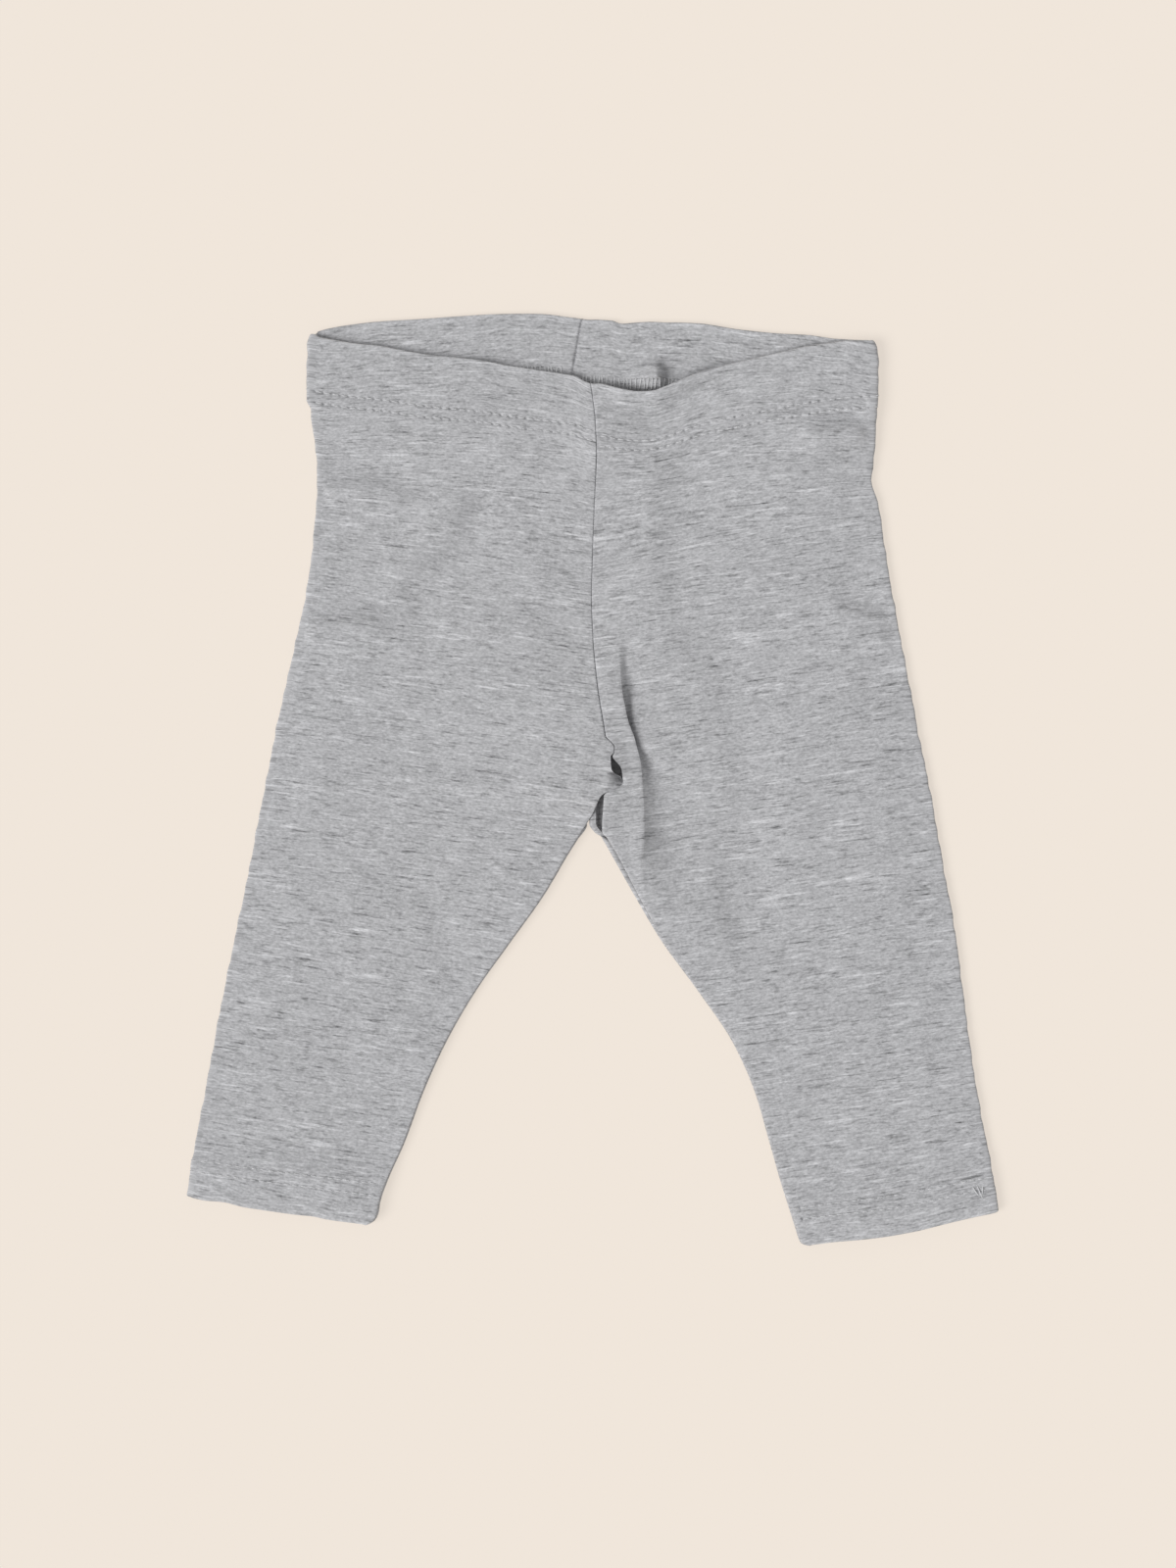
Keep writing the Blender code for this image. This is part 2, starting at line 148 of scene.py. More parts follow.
FOLD_SQUARE = 3.8           # how square the pressed nose is, 2 being round
EDGE_SQUARE = 3.6           # how square the turned and rolled edges are
FOLD_WOBBLE = 0.09          # how far each of three waves moves the fold to and fro
WOBBLE_LENGTHS = (6.1, 9.7, 17.3)
PLAIN_STRIP = 8.0           # width of the strip beside the seam where there is no tuck
STRIP_LIMITS = (4.0, 16.0)
LEAST_AIR = 0.2             # least gap between the front and the back inside
BACK_EDGE = 2.6             # width of the rolled inner edge of the back
SEAM_DEPTH = 0.6            # how far the inseam draws the cloth in
SEAM_WIDTH = 0.5
SEAM_SLIT = 0.12            # half the slit left between two edges of the inseam
SLIT_REACH = 0.3

# Rows run down the cloth and are lines across it. outer: point on the outer fold. front and
# back: inner ends of the front and of the back. waist and hem: how far the row takes part in
# the uneven lines of the waist edge and of the hem.
OUTLINE_COLUMNS = ("outer_x", "outer_y", "front_x", "front_y", "back_x", "back_y",
                   "waist", "hem")
RIGHT_OUTLINE = (
    (-99.3, 157.2, -0.7, 140.3, -3.5, 162.4, 1.0),
    (-100.5, 153.4, -0.2, 137.4, -4.2, 159.2, 0.95),
    (-100.7, 142.0, 1.0, 127.2, -6.0, 148.4, 0.8),
    (-100.5, 133.0, 1.4, 119.2, -7.3, 140.1, 0.66),
    (-99.4, 130.4, 1.5, 117.0, -7.4, 137.8, 0.62),
    (-98.9, 126.0, 1.4, 112.6, -7.3, 132.2, 0.55),
    (-97.9, 119.5, 1.2, 106.6, -7.0, 124.0, 0.4),
    (-97.0, 105.5, 0.6, 93.5, -6.0, 108.5, 0.15),
    (-97.8, 92.0, 0.1, 79.5, -5.5, 92.5),
    (-99.4, 76.0, -0.3, 65.0, -4.5, 75.0),
    (-102.0, 60.5, 0.2, 50.5, -3.0, 57.5),
    (-105.5, 45.0, 1.5, 36.0, -2.0, 40.0),
    (-107.0, 38.0, 2.4, 29.0, -1.7, 32.0),
    (-109.2, 28.6, 4.0, 19.4, -1.3, 20.5),
    (-110.1, 24.4, 4.7, 15.3, -1.2, 16.0),
    (-110.5, 22.6, 6.6, 13.4, -1.2, 13.8),
    (-110.9, 20.9, 7.8, 11.6, -1.1, 11.8),
    (-111.3, 18.9, 7.6, 9.6, -1.1, 9.8),
    (-111.6, 17.5, 6.4, 8.3, -1.1, 8.3),
    (-112.1, 14.8, 6.5, 5.5, -1.1, 5.5),
    (-112.5, 12.8, 6.8, 3.5, -1.1, 3.5),
    (-112.8, 11.6, 7.9, 2.3, -1.1, 2.3),
    (-113.0, 10.5, 9.9, 1.2, -1.1, 1.2),
    (-113.3, 8.8, 10.8, -0.6, -1.1, -0.6),
    (-113.5, 7.6, 10.2, -1.8, -1.1, -1.8),
    (-113.8, 6.0, 6.8, -3.5, -1.1, -3.5),
    (-114.0, 4.8, 4.4, -4.6, -1.1, -4.6),
    (-114.2, 3.6, 3.1, -5.6, -1.1, -5.6),
    (-115.0, -0.5, 1.2, -9.5, -1.1, -9.5),
    (-116.4, -7.0, -1.6, -15.5, -1.6, -15.5),
    (-117.4, -12.5, -4.6, -20.5, -4.6, -20.5),
    (-118.6, -18.5, -8.1, -26.0, -8.1, -26.0),
    (-121.2, -32.5, -16.7, -40.5, -16.7, -40.5),
    (-124.8, -49.5, -29.2, -58.0, -29.2, -58.0),
    (-128.4, -67.0, -41.2, -75.0, -41.2, -75.0),
    (-131.8, -84.0, -51.3, -92.5, -51.3, -92.5),
    (-135.0, -101.5, -59.3, -110.0, -59.3, -110.0),
    (-138.2, -118.5, -65.8, -127.5, -65.8, -127.5),
    (-141.0, -133.2, -72.2, -142.0, -72.2, -142.0, 0.0, 0.2),
    (-142.0, -139.9, -74.5, -149.0, -74.5, -149.0, 0.0, 0.5),
    (-142.5, -143.0, -75.0, -152.3, -75.0, -152.3, 0.0, 0.9),
    (-142.8, -145.3, -76.2, -155.0, -76.2, -155.0, 0.0, 1.0),
    (-142.9, -146.6, -78.6, -156.8, -78.6, -156.8, 0.0, 1.0),
)
LEFT_OUTLINE = (
    (99.2, 155.0, -0.7, 140.3, -3.5, 162.4, 1.0),
    (100.5, 151.8, -0.2, 137.4, -4.2, 159.2, 0.95),
    (100.8, 142.0, 1.0, 127.2, -6.0, 148.4, 0.8),
    (100.7, 132.6, 1.4, 119.1, -7.3, 140.0, 0.66),
    (100.1, 130.2, 1.5, 116.7, -7.4, 137.6, 0.62),
    (99.9, 120.5, 1.2, 106.6, -7.0, 124.0, 0.4),
    (98.8, 110.0, 0.7, 96.8, -6.3, 112.0, 0.2),
    (98.4, 105.4, 0.5, 91.2, -5.9, 106.0, 0.1),
    (99.4, 102.0, 0.3, 87.0, -5.7, 101.0, 0.05),
    (101.0, 96.0, 0.1, 79.5, -5.5, 92.5),
    (104.0, 76.0, -0.3, 65.0, -4.5, 75.0),
    (106.7, 60.5, 0.2, 50.5, -3.0, 57.5),
    (109.6, 45.0, 1.5, 36.0, -2.0, 40.0),
    (110.9, 38.0, 2.4, 29.0, -1.7, 32.0),
    (112.8, 28.6, 4.0, 19.4, -1.3, 20.5),
    (113.5, 24.4, 4.7, 15.3, -1.2, 16.0),
    (113.8, 22.6, 6.6, 13.4, -1.2, 13.8),
    (114.1, 20.9, 7.8, 11.6, -1.1, 11.8),
    (114.5, 18.9, 7.6, 9.6, -1.1, 9.8),
    (114.8, 17.5, 7.1, 8.3, -1.1, 8.3),
    (115.1, 15.6, 8.6, 6.2, -1.1, 6.2),
    (115.4, 14.2, 9.8, 4.8, -1.1, 4.8),
    (115.7, 12.8, 10.3, 3.5, -1.1, 3.5),
    (116.2, 10.1, 10.6, 0.7, -1.1, 0.7),
    (116.5, 8.8, 10.8, -0.6, -1.1, -0.6),
    (116.8, 7.6, 10.2, -1.8, -1.1, -1.8),
    (117.2, 6.0, 6.8, -3.5, -1.1, -3.5),
    (117.4, 4.8, 4.7, -4.6, -1.1, -4.6),
    (117.6, 3.6, 4.0, -5.6, -1.1, -5.6),
    (118.5, -0.5, 3.8, -9.5, -1.1, -9.5),
    (119.7, -7.0, 3.4, -15.5, -1.1, -15.5),
    (120.2, -10.0, 3.4, -18.2, 0.6, -18.2),
    (120.6, -12.5, 5.2, -20.5, 3.2, -20.5),
    (121.7, -18.5, 8.3, -26.0, 6.5, -26.0),
    (124.1, -32.5, 15.6, -40.5, 14.7, -40.5),
    (127.3, -49.5, 25.2, -58.0, 25.1, -58.0),
    (129.7, -67.0, 37.4, -75.0, 37.4, -75.0),
    (131.9, -84.0, 49.2, -92.5, 49.2, -92.5),
    (134.3, -101.5, 57.0, -110.0, 57.0, -110.0),
    (137.2, -118.5, 62.1, -127.5, 62.1, -127.5),
    (139.7, -131.0, 66.2, -142.0, 66.2, -142.0, 0.0, 0.2),
    (141.2, -139.0, 68.9, -150.6, 68.9, -150.6, 0.0, 0.5),
    (142.3, -146.0, 71.2, -157.8, 71.2, -157.8, 0.0, 0.9),
    (142.9, -149.5, 72.3, -161.4, 72.3, -161.4, 0.0, 1.0),
    (142.9, -151.6, 73.4, -163.4, 73.4, -163.4, 0.0, 1.0),
    (142.2, -152.4, 75.2, -164.0, 75.2, -164.0, 0.0, 1.0),
)

# How far the waist edge stands above a straight row, in front and behind, by x. The slack
# elastic lets the front drop and gape beside the centre seam. lip: how far the front's edge
# stands up. hollow: how deep the back's facing is pressed in along it.
WAIST_COLUMNS = ("x", "front", "back", "lip", "hollow")
WAIST_LINE = (
    (-99.6, 0.0, 0.0, 0.0, 0.1),
    (-94.0, -0.8, 1.5, 0.1, 0.1),
    (-85.0, -0.8, 2.6, 0.0, -0.4),
    (-74.7, -0.1, 3.2, 0.0, -0.3),
    (-59.5, -0.3, 3.3, 0.0, -0.3),
    (-47.4, 0.4, 3.5, 0.0, -0.3),
    (-37.1, 0.9, 3.6, 0.0, -0.4),
    (-29.5, 0.6, 3.4, 0.0, -0.4),
    (-18.5, 0.9, 2.8, 0.3, 0.1),
    (-7.1, 1.1, 0.9, 0.7, 0.4),
    (-2.0, -0.5, 0.1, 1.0, 0.6),
    (2.6, -1.3, 0.4, 1.2, 0.6),
    (6.7, -2.9, 0.4, 1.8, 0.7),
    (10.0, -4.3, -0.4, 2.3, 0.9),
    (16.0, -6.1, 0.4, 3.2, 1.4),
    (21.6, -6.7, 1.0, 4.3, 1.7),
    (26.0, -5.8, 1.1, 4.9, 1.7),
    (30.0, -4.7, 1.4, 4.6, 1.7),
    (37.8, -2.6, 1.6, 3.0, 1.7),
    (51.9, -0.7, 0.5, 0.5, 0.6),
    (65.4, 0.4, 0.1, 0.0, 0.1),
    (75.7, 1.2, 0.3, 0.0, 0.2),
    (85.7, 1.2, -0.3, 0.0, 0.2),
    (99.2, 0.0, 0.0, 0.0, 0.1),
)

# How far the hem stands above a straight row, by x.
HEM_COLUMNS = ("x", "hem_line")
HEM_LINE = (
    (-143.0, 0.0), (-136.8, -0.5), (-129.6, 0.0), (-122.3, -0.6), (-105.4, -0.4),
    (-98.2, 0.0), (-93.3, -0.3), (-80.0, 0.0), (73.8, 0.0), (83.3, -0.3), (97.1, -1.4),
    (105.7, -1.7), (113.5, -1.6), (124.4, -0.8), (135.4, -0.2), (142.7, 0.0),
)

# How the front's inner edge is turned down, by the height y of the row's inner end. roll:
# width of the turn. turn: share of the way down to mid height. closed: 1 where the back is
# rolled up to meet it in the inseam. web: lift of the back's edge between the legs.
EDGE_COLUMNS = ("y", "roll", "turn", "closed", "web")
RIGHT_EDGE = (
    (-170.0, 2.6, 1.0, 1.0),
    (-30.0, 2.6, 1.0, 1.0),
    (-18.0, 2.4, 1.0, 1.0),
    (-14.0, 1.8, 0.8, 0.4),
    (-11.0, 1.4, 0.5),
    (-5.5, 1.0, 0.3),
    (-3.4, 0.8),
    (8.2, 0.8),
    (9.2, 0.8, 0.5),
    (110.0, 0.8, 0.42),
    (125.0, 0.6, 0.22),
    (200.0, 0.6, 0.22),
)
LEFT_EDGE = (
    (-170.0, 2.6, 1.0, 1.0),
    (-26.0, 2.6, 1.0, 1.0),
    (-21.5, 1.2, 1.0, 1.0, 0.4),
    (-18.5, 0.6, 0.6, 0.0, 1.8),
    (-16.0, 0.5, 0.3, 0.0, 2.3),
    (-9.0, 0.5, 0.2, 0.0, 2.3),
    (-5.5, 0.5, 0.2, 0.0, 1.6),
    (-3.4, 0.5, 0.0, 0.0, 0.6),
    (-0.2, 0.5),
    (8.2, 0.5),
    (9.2, 0.8, 0.5),
    (110.0, 0.8, 0.42),
    (125.0, 0.6, 0.22),
    (200.0, 0.6, 0.22),
)
HALVES = {"right": (-1, RIGHT_OUTLINE, RIGHT_EDGE), "left": (1, LEFT_OUTLINE, LEFT_EDGE)}


def smooth_through(places, values, wanted):
    """Cubic through a table's values that never overshoots: its tangent at a row is the
    harmonic mean of the two slopes beside it, and it is level at a crest."""
    step = np.diff(places)
    slope = np.diff(values) / step
    product = slope[:-1] * slope[1:]
    total = np.where(product > 0.0, slope[:-1] + slope[1:], 1.0)
    inside = np.where(product > 0.0, 2.0 * product / total, 0.0)
    tangent = np.concatenate((slope[:1], inside, slope[-1:]))
    wanted = np.clip(wanted, places[0], places[-1])
    index = np.clip(np.searchsorted(places, wanted, side="right") - 1, 0, len(step) - 1)
    width = step[index]
    t = (wanted - places[index]) / width
    low = (1.0 + 2.0 * t) * (1.0 - t) ** 2 * values[index]
    low = low + t * (1.0 - t) ** 2 * width * tangent[index]
    high = t * t * (3.0 - 2.0 * t) * values[index + 1]
    high = high + t * t * (t - 1.0) * width * tangent[index + 1]
    return low + high


def read_table(columns, rows, places, wanted):
    """Every column of a table, read by smooth_through at the wanted places. What a row
    leaves out at its end is nought."""
    values = np.array([row + (0.0,) * (len(columns) - len(row)) for row in rows]).T
    order = np.argsort(places)
    return {name: smooth_through(places[order], column[order], wanted)
            for name, column in zip(columns, values)}


def read_by_first(columns, rows, wanted):
    """A table read by its own first column."""
    return read_table(columns, rows, np.array([row[0] for row in rows]), wanted)


def ease(t):
    """Smooth step: 3t squared less 2t cubed, held at 0 and 1 outside."""
    t = np.clip(t, 0.0, 1.0)
    return t * t * (3.0 - 2.0 * t)


def place_of_rows(outline):
    """Distances of the outline's rows down from the waist edge, along the outer fold's y."""
    outer_y = np.array([row[1] for row in outline])
    return outer_y[0] - outer_y


def cloth_rows(outline, edge, place):
    """Both tables of a half, read at places that are distances down from the waist edge,
    with the heights that follow from the place: casing above, hem below, leg between."""
    down = place_of_rows(outline)
    rows = read_table(OUTLINE_COLUMNS, outline, down, place)
    rows.update(read_by_first(EDGE_COLUMNS, edge, rows["front_y"]))
    end = down[-1]
    in_casing = 1.0 - ease((place - CASING_DEPTH + 1.0) / CASING_FADE)
    step_down = 1.0 - ease((place - CASING_DEPTH) / CASING_STEP)
    in_casing = (1.0 - STEP_SHARE) * in_casing + STEP_SHARE * step_down
    in_hem = ease((place - end + HEM_DEPTH + HEM_FADE) / (HEM_FADE + 2.0))
    rows["fold"] = LEG_FOLD + (CASING_LOFT - LEG_FOLD) * in_casing
    rows["fold"] += (HEM_LOFT - HEM_SLOPE - LEG_FOLD) * in_hem
    slimmer = SLIMMER * ease((place - SLIM_FROM) / SLIM_OVER)
    rows["loft"] = LEG_LOFT - slimmer + (CASING_LOFT - LEG_LOFT) * in_casing
    rows["loft"] += (HEM_LOFT - LEG_LOFT + slimmer) * in_hem
    rows["wall"] = JERSEY + (CASING - JERSEY) * (place < CASING_DEPTH + LEG_JOIN)
    rows["wall"] += (HEM - JERSEY) * (place > end - HEM_DEPTH)
    rows["place"] = place
    rows["end"] = np.full_like(place, end)
    rows["outer_x"] = rows["outer_x"] + FOLD_WOBBLE * sum(
        np.sin(2.0 * np.pi * place / length + length) for length in WOBBLE_LENGTHS)
    return {name: values[:, None] for name, values in rows.items()}


# Soft creases of the front, each a bank along a bent line: its points, how far the cloth
# stands up on the right of the way along it, how far it sinks on the left, half the width
# of the bank, and the width over which either side comes back to level.
CREASES = (
    (((-42.5, 104.0), (-45.0, 92.0), (-51.0, 82.0), (-60.0, 73.5), (-72.0, 67.0)),
     1.6, 1.8, 5.0, 13.0),
    (((-114.0, 55.5), (-92.0, 57.0), (-70.0, 60.5)), 1.9, 1.7, 4.4, 10.0),
    (((-106.0, 106.0), (-85.0, 105.5), (-62.0, 104.0)), 2.0, 1.8, 4.0, 8.0),
    (((26.0, 118.0), (25.7, 93.5), (26.7, 56.0), (44.3, 31.4), (48.5, 6.0), (50.5, -14.5),
      (48.5, -47.6), (50.5, -66.0)), 0.4, 0.7, 5.0, 18.0),
    (((-18.0, 104.0), (-18.0, 40.0)), 0.1, 0.2, 4.0, 12.0),
    (((70.0, 123.5), (84.0, 125.5), (108.0, 126.5)), 2.7, 1.9, 4.0, 8.0),
    (((76.0, 105.0), (90.0, 105.5), (106.0, 104.5)), 0.5, 0.6, 2.5, 6.0),
    (((80.0, 66.0), (92.5, 61.5), (114.0, 54.5)), 1.2, 1.5, 5.0, 12.0),
    (((-100.0, -17.0), (-73.0, -38.0)), 0.4, 0.5, 2.8, 8.0),
    (((-62.0, -34.0), (-55.0, -70.0), (-67.0, -92.0)), 0.25, 0.35, 3.5, 12.0),
    (((12.0, 142.0), (22.0, 110.0)), 1.6, 1.6, 15.0, 15.0),
    (((33.0, -14.0), (39.0, -34.0), (48.0, -60.0)), 1.2, 1.8, 12.0, 14.0),
)
CREASE_END = 9.0            # length over which a crease starts and stops
LIE_SEED = 41               # the cloth's own slight unevenness, as a sum of shallow waves
LIE_WAVES = 22
LIE_LENGTHS = (14.0, 60.0)
LIE_HEIGHT = 0.05


def crease_relief(creases, x, y):
    """Sum over the creases. The offset from a crease is the distance to its nearest run,
    negative on the right. Between minus and plus half a bank the height is a sine from the
    risen side to the sunk one, and on both sides a smooth step brings it back to level."""
    total = np.zeros_like(x)
    for line, risen, sunk, half_bank, back_to_level in creases:
        nearest = np.full_like(x, 1e9)
        offset = np.zeros_like(x)
        along = np.zeros_like(x)
        length = 0.0
        for (x0, y0), (x1, y1) in zip(line[:-1], line[1:]):
            run_x, run_y = x1 - x0, y1 - y0
            run = np.hypot(run_x, run_y)
            share = np.clip(((x - x0) * run_x + (y - y0) * run_y) / run ** 2, 0.0, 1.0)
            away = np.hypot(x - x0 - share * run_x, y - y0 - share * run_y)
            side = np.sign(run_x * (y - y0) - run_y * (x - x0))
            closer = away < nearest
            nearest = np.where(closer, away, nearest)
            offset = np.where(closer, side * away, offset)
            along = np.where(closer, length + share * run, along)
            length += run
        ends = ease(along / CREASE_END) * ease((length - along) / CREASE_END)
        high = (1.0 - np.sin(np.clip(offset / half_bank, -1.0, 1.0) * np.pi / 2.0)) / 2.0
        level = ease(1.0 - (np.abs(offset) - half_bank) / back_to_level)
        total += ends * level * (risen * high - sunk * (1.0 - high))
    return total


def uneven_lie(x, y):
    """Sum of plane waves whose lengths, directions and phases are drawn once from a seed."""
    draw = np.random.default_rng(LIE_SEED)
    total = np.zeros_like(x)
    for _ in range(LIE_WAVES):
        length = draw.uniform(*LIE_LENGTHS)
        way = draw.uniform(0.0, np.pi)
        phase = draw.uniform(0.0, 2.0 * np.pi)
        along = (x * np.cos(way) + y * np.sin(way)) / length
        height = LIE_HEIGHT * (length / LIE_LENGTHS[1]) ** 0.5
        total += height * np.sin(2.0 * np.pi * along + phase)
    return total


# The tuck beside the crotch, where the left leg's cloth is pushed up into a sharp crest, by
# the height y. crest_x: line of the crest. rise: height over the strip beside it. fall:
# width of its far side. lean: how far the crest hangs over. valley: depth of the hollow
# at its foot, floor its width, and recover the width over which it fades out. sharp: 0 where
# the far side is rounded, 1 and more where it is steepest at the crest. seam_rise: how far
# the seams on its near side are pushed up with it.
TUCK_COLUMNS = ("y", "crest_x", "rise", "fall", "lean", "valley", "floor", "recover", "sharp",
                "seam_rise")
TUCK = (
    (-60.0, 24.0, 0.0, 12.0, 0.0, 0.0, 0.0, 12.0, 0.0, 0.0),
    (-50.0, 21.0, 0.4, 12.0, 0.0, 0.5, 0.0, 12.0, 0.0, 0.3),
    (-40.0, 18.6, 1.6, 12.0, 0.0, 1.2, 0.0, 13.0, 0.4, 1.7),
    (-32.0, 17.4, 3.2, 12.5, 0.0, 1.5, 0.0, 13.0, 0.6, 3.5),
    (-26.0, 17.8, 3.8, 11.5, 0.0, 1.6, 0.0, 13.0, 0.8, 4.5),
    (-20.0, 18.2, 4.1, 10.0, 0.0, 1.4, 0.0, 14.0, 1.1, 5.0),
    (-10.0, 18.1, 4.3, 12.5, 0.0, 0.6, 0.0, 16.0, 2.0, 5.3),
    (-4.8, 17.9, 4.1, 13.0, 0.1, 0.5, 0.0, 16.0, 2.4, 5.1),
    (0.3, 17.6, 3.5, 9.0, 1.0, 0.7, 0.0, 14.0, 3.8, 4.5),
    (5.5, 17.1, 2.9, 4.0, 1.7, 1.1, 0.0, 8.0, 3.4, 3.8),
    (10.7, 15.9, 2.4, 0.9, 1.9, 1.5, 0.0, 3.8, 1.0, 3.3),
    (15.9, 14.5, 2.5, 0.6, 1.9, 2.0, 0.0, 2.8, 0.6, 3.1),
    (21.0, 12.6, 2.9, 0.6, 1.9, 2.0, 0.9, 2.8, 0.0, 3.0),
    (26.2, 11.4, 3.1, 0.8, 1.8, 1.9, 1.3, 3.0, 0.0, 2.7),
    (31.4, 10.4, 2.8, 1.3, 0.9, 1.7, 1.8, 4.4, 0.0, 2.0),
    (36.6, 9.8, 1.6, 2.3, 0.2, 1.4, 1.6, 6.5, 0.0, 1.2),
    (42.0, 9.3, 0.8, 3.0, 0.0, 1.1, 1.6, 8.0, 0.0, 0.6),
    (52.0, 9.0, 0.0, 4.0, 0.0, 0.0, 0.0, 5.0, 0.0, 0.0),
)
CLIMB_HASTE = 1.4           # how much sooner than the crest the near side is up
CREST_DROP = 0.06           # share of the rise by which the crest's top is rounded off
CREST_ROUND = 0.6           # width of that rounding
LEAN_WIDTH = 4.0            # width before the crest over which the overhang comes in
SEAM_SWELL = 85.0           # how far into the right leg the rise of the seams reaches
SWELL_LOW = (-14.0, -4.0)   # between these heights y it sets in, above the free edges


def tuck_relief(x, y, from_inner, depth):
    """Shift across and height of the tuck. The strip climbs as a sine from the seam's rise to
    the crest. Beyond it the cloth falls below the cloth beside it, as a smooth step or, by
    the share sharp, as a power of the distance that is left, and comes back up. The crest is
    shifted sideways over its foot, by the lean at its top and nothing at its foot. The inner
    face, depth under the outer one, does all this that much nearer to the inner edge."""
    tuck = read_by_first(TUCK_COLUMNS, TUCK, y)
    past = x - tuck["crest_x"] + tuck["lean"] + depth
    share = np.clip(from_inner / np.maximum(from_inner - past, 1.0), 0.0, 1.0)
    climb = np.sin(np.clip(CLIMB_HASTE * share, 0.0, 1.0) * np.pi / 2.0)
    climb = tuck["seam_rise"] + (tuck["rise"] - tuck["seam_rise"]) * climb
    climb = climb - CREST_DROP * tuck["rise"] * ease(1.0 + past / CREST_ROUND)
    t = np.clip(past / tuck["fall"], 0.0, 1.0)
    sharp = np.minimum(tuck["sharp"], 1.0)
    down = (1.0 - sharp) * ease(t)
    down = down + sharp * (1.0 - (1.0 - t) ** (1.0 + np.maximum(tuck["sharp"], 1.0)))
    back_up = 1.0 - ease((past - tuck["fall"] - tuck["floor"]) / tuck["recover"])
    beside = (1.0 - CREST_DROP) * (1.0 - down) * tuck["rise"] - down * back_up * tuck["valley"]
    height = np.where(past < 0.0, climb, beside)
    shift = tuck["lean"] * ease(1.0 + past / LEAN_WIDTH) * (1.0 - down)
    return shift, height


# Where the edges slope down into the small pit under the front seam, by the height y.
# right and left: how deep each leg's edge sinks. right_reach and left_reach: how far back
# from the edge its slope begins.
PIT_COLUMNS = ("y", "right", "right_reach", "left", "left_reach")
PIT = (
    (-5.6, 0.0, 3.5, 0.0, 2.0),
    (-4.3, 0.9, 4.0, 0.5, 2.0),
    (-2.8, 2.0, 4.8, 1.2, 2.2),
    (-1.2, 3.2, 5.4, 1.8, 1.8),
    (0.8, 4.2, 4.6, 0.6, 1.0),
    (2.0, 3.0, 3.2, 0.0, 1.0),
    (2.9, 0.0, 3.0, 0.0, 1.0),
)


def pit_relief(y, from_inner, leg):
    """The edge sinks by a smooth step towards the inner end of its row."""
    pit = read_by_first(PIT_COLUMNS, PIT, y)
    return -pit[leg] * (1.0 - ease(from_inner / pit[leg + "_reach"]))


def bell(away, width):
    """Bell curve, 1 in the middle: e to the minus square of the distance over the width."""
    return np.exp(-(away / width) ** 2)


# Twin-needle rows, as distances down from the waist edge and up from the hem, the spacing
# of their stitches, and the furrow that the thread pulls into the cloth.
CASING_ROWS = (19.6, 23.6)
HEM_ROWS = (9.0, 12.8)
STITCH = 3.0
FURROW_DEPTH = 0.18
FURROW_WIDTH = 0.65
HOLE_DEPTH = 0.75
HOLE_WIDTH = 0.40
HOLE_WAVES = (13.0, 31.0)   # lengths over which the thread pulls now more, now less
HOLE_SWING = 0.35


def furrow_relief(rows, along):
    """Each stitch row is a furrow with the profile of a bell curve. Where the needle goes
    through, at every whole stitch along the row, there is a narrower bell-shaped hole. Its
    depth swings as the product of two sines along the row."""
    to_hole = STITCH * (np.mod(along / STITCH + 0.5, 1.0) - 0.5)
    places = [rows["place"] - down for down in CASING_ROWS]
    places += [rows["end"] - rows["place"] - up for up in HEM_ROWS]
    furrow = sum(bell(away, FURROW_WIDTH) for away in places)
    hole = sum(bell(away, HOLE_WIDTH) for away in places)
    hole = hole * bell(to_hole, HOLE_WIDTH)
    short, long = (np.sin(2.0 * np.pi * along / length + length) for length in HOLE_WAVES)
    hole = hole * (1.0 - HOLE_SWING + HOLE_SWING * short * long)
    return -FURROW_DEPTH * furrow - HOLE_DEPTH * hole


def uneven_edges(rows, x, face):
    """Rise of a row over a straight line: the waist line and the hem line, each taken by the
    row's own share."""
    waist = read_by_first(WAIST_COLUMNS, WAIST_LINE, x)[face]
    hem = read_by_first(HEM_COLUMNS, HEM_LINE, x)["hem_line"]
    return rows["waist"] * waist + rows["hem"] * hem


# The back's facing is pressed into a soft hollow along the front's waist edge. Where the
# elastic is slack it bulges over it and falls off in an upright bank.
WAIST_ENDS = ((-99.3, 157.2), (-0.7, 140.3), (99.2, 155.0))
FACING_WIDTH = 1.6
FACING_CREASES = (
    (((22.5, 151.0), (24.5, 144.5), (26.5, 131.0)), 3.6, 1.7, 2.4, 12.0),
)


def facing_relief(x, y):
    """Bell-shaped trough along the line of the front's waist edge, plus the bank, within
    what the wall's thickness allows."""
    ends_x, ends_y = np.array(WAIST_ENDS).T
    waist = read_by_first(WAIST_COLUMNS, WAIST_LINE, x)
    above = y - np.interp(x, ends_x, ends_y) - waist["front"]
    trough = waist["hollow"] * bell(above - 0.2, FACING_WIDTH)
    return np.clip(crease_relief(FACING_CREASES, x, y) - trough, -1.7, 3.6)


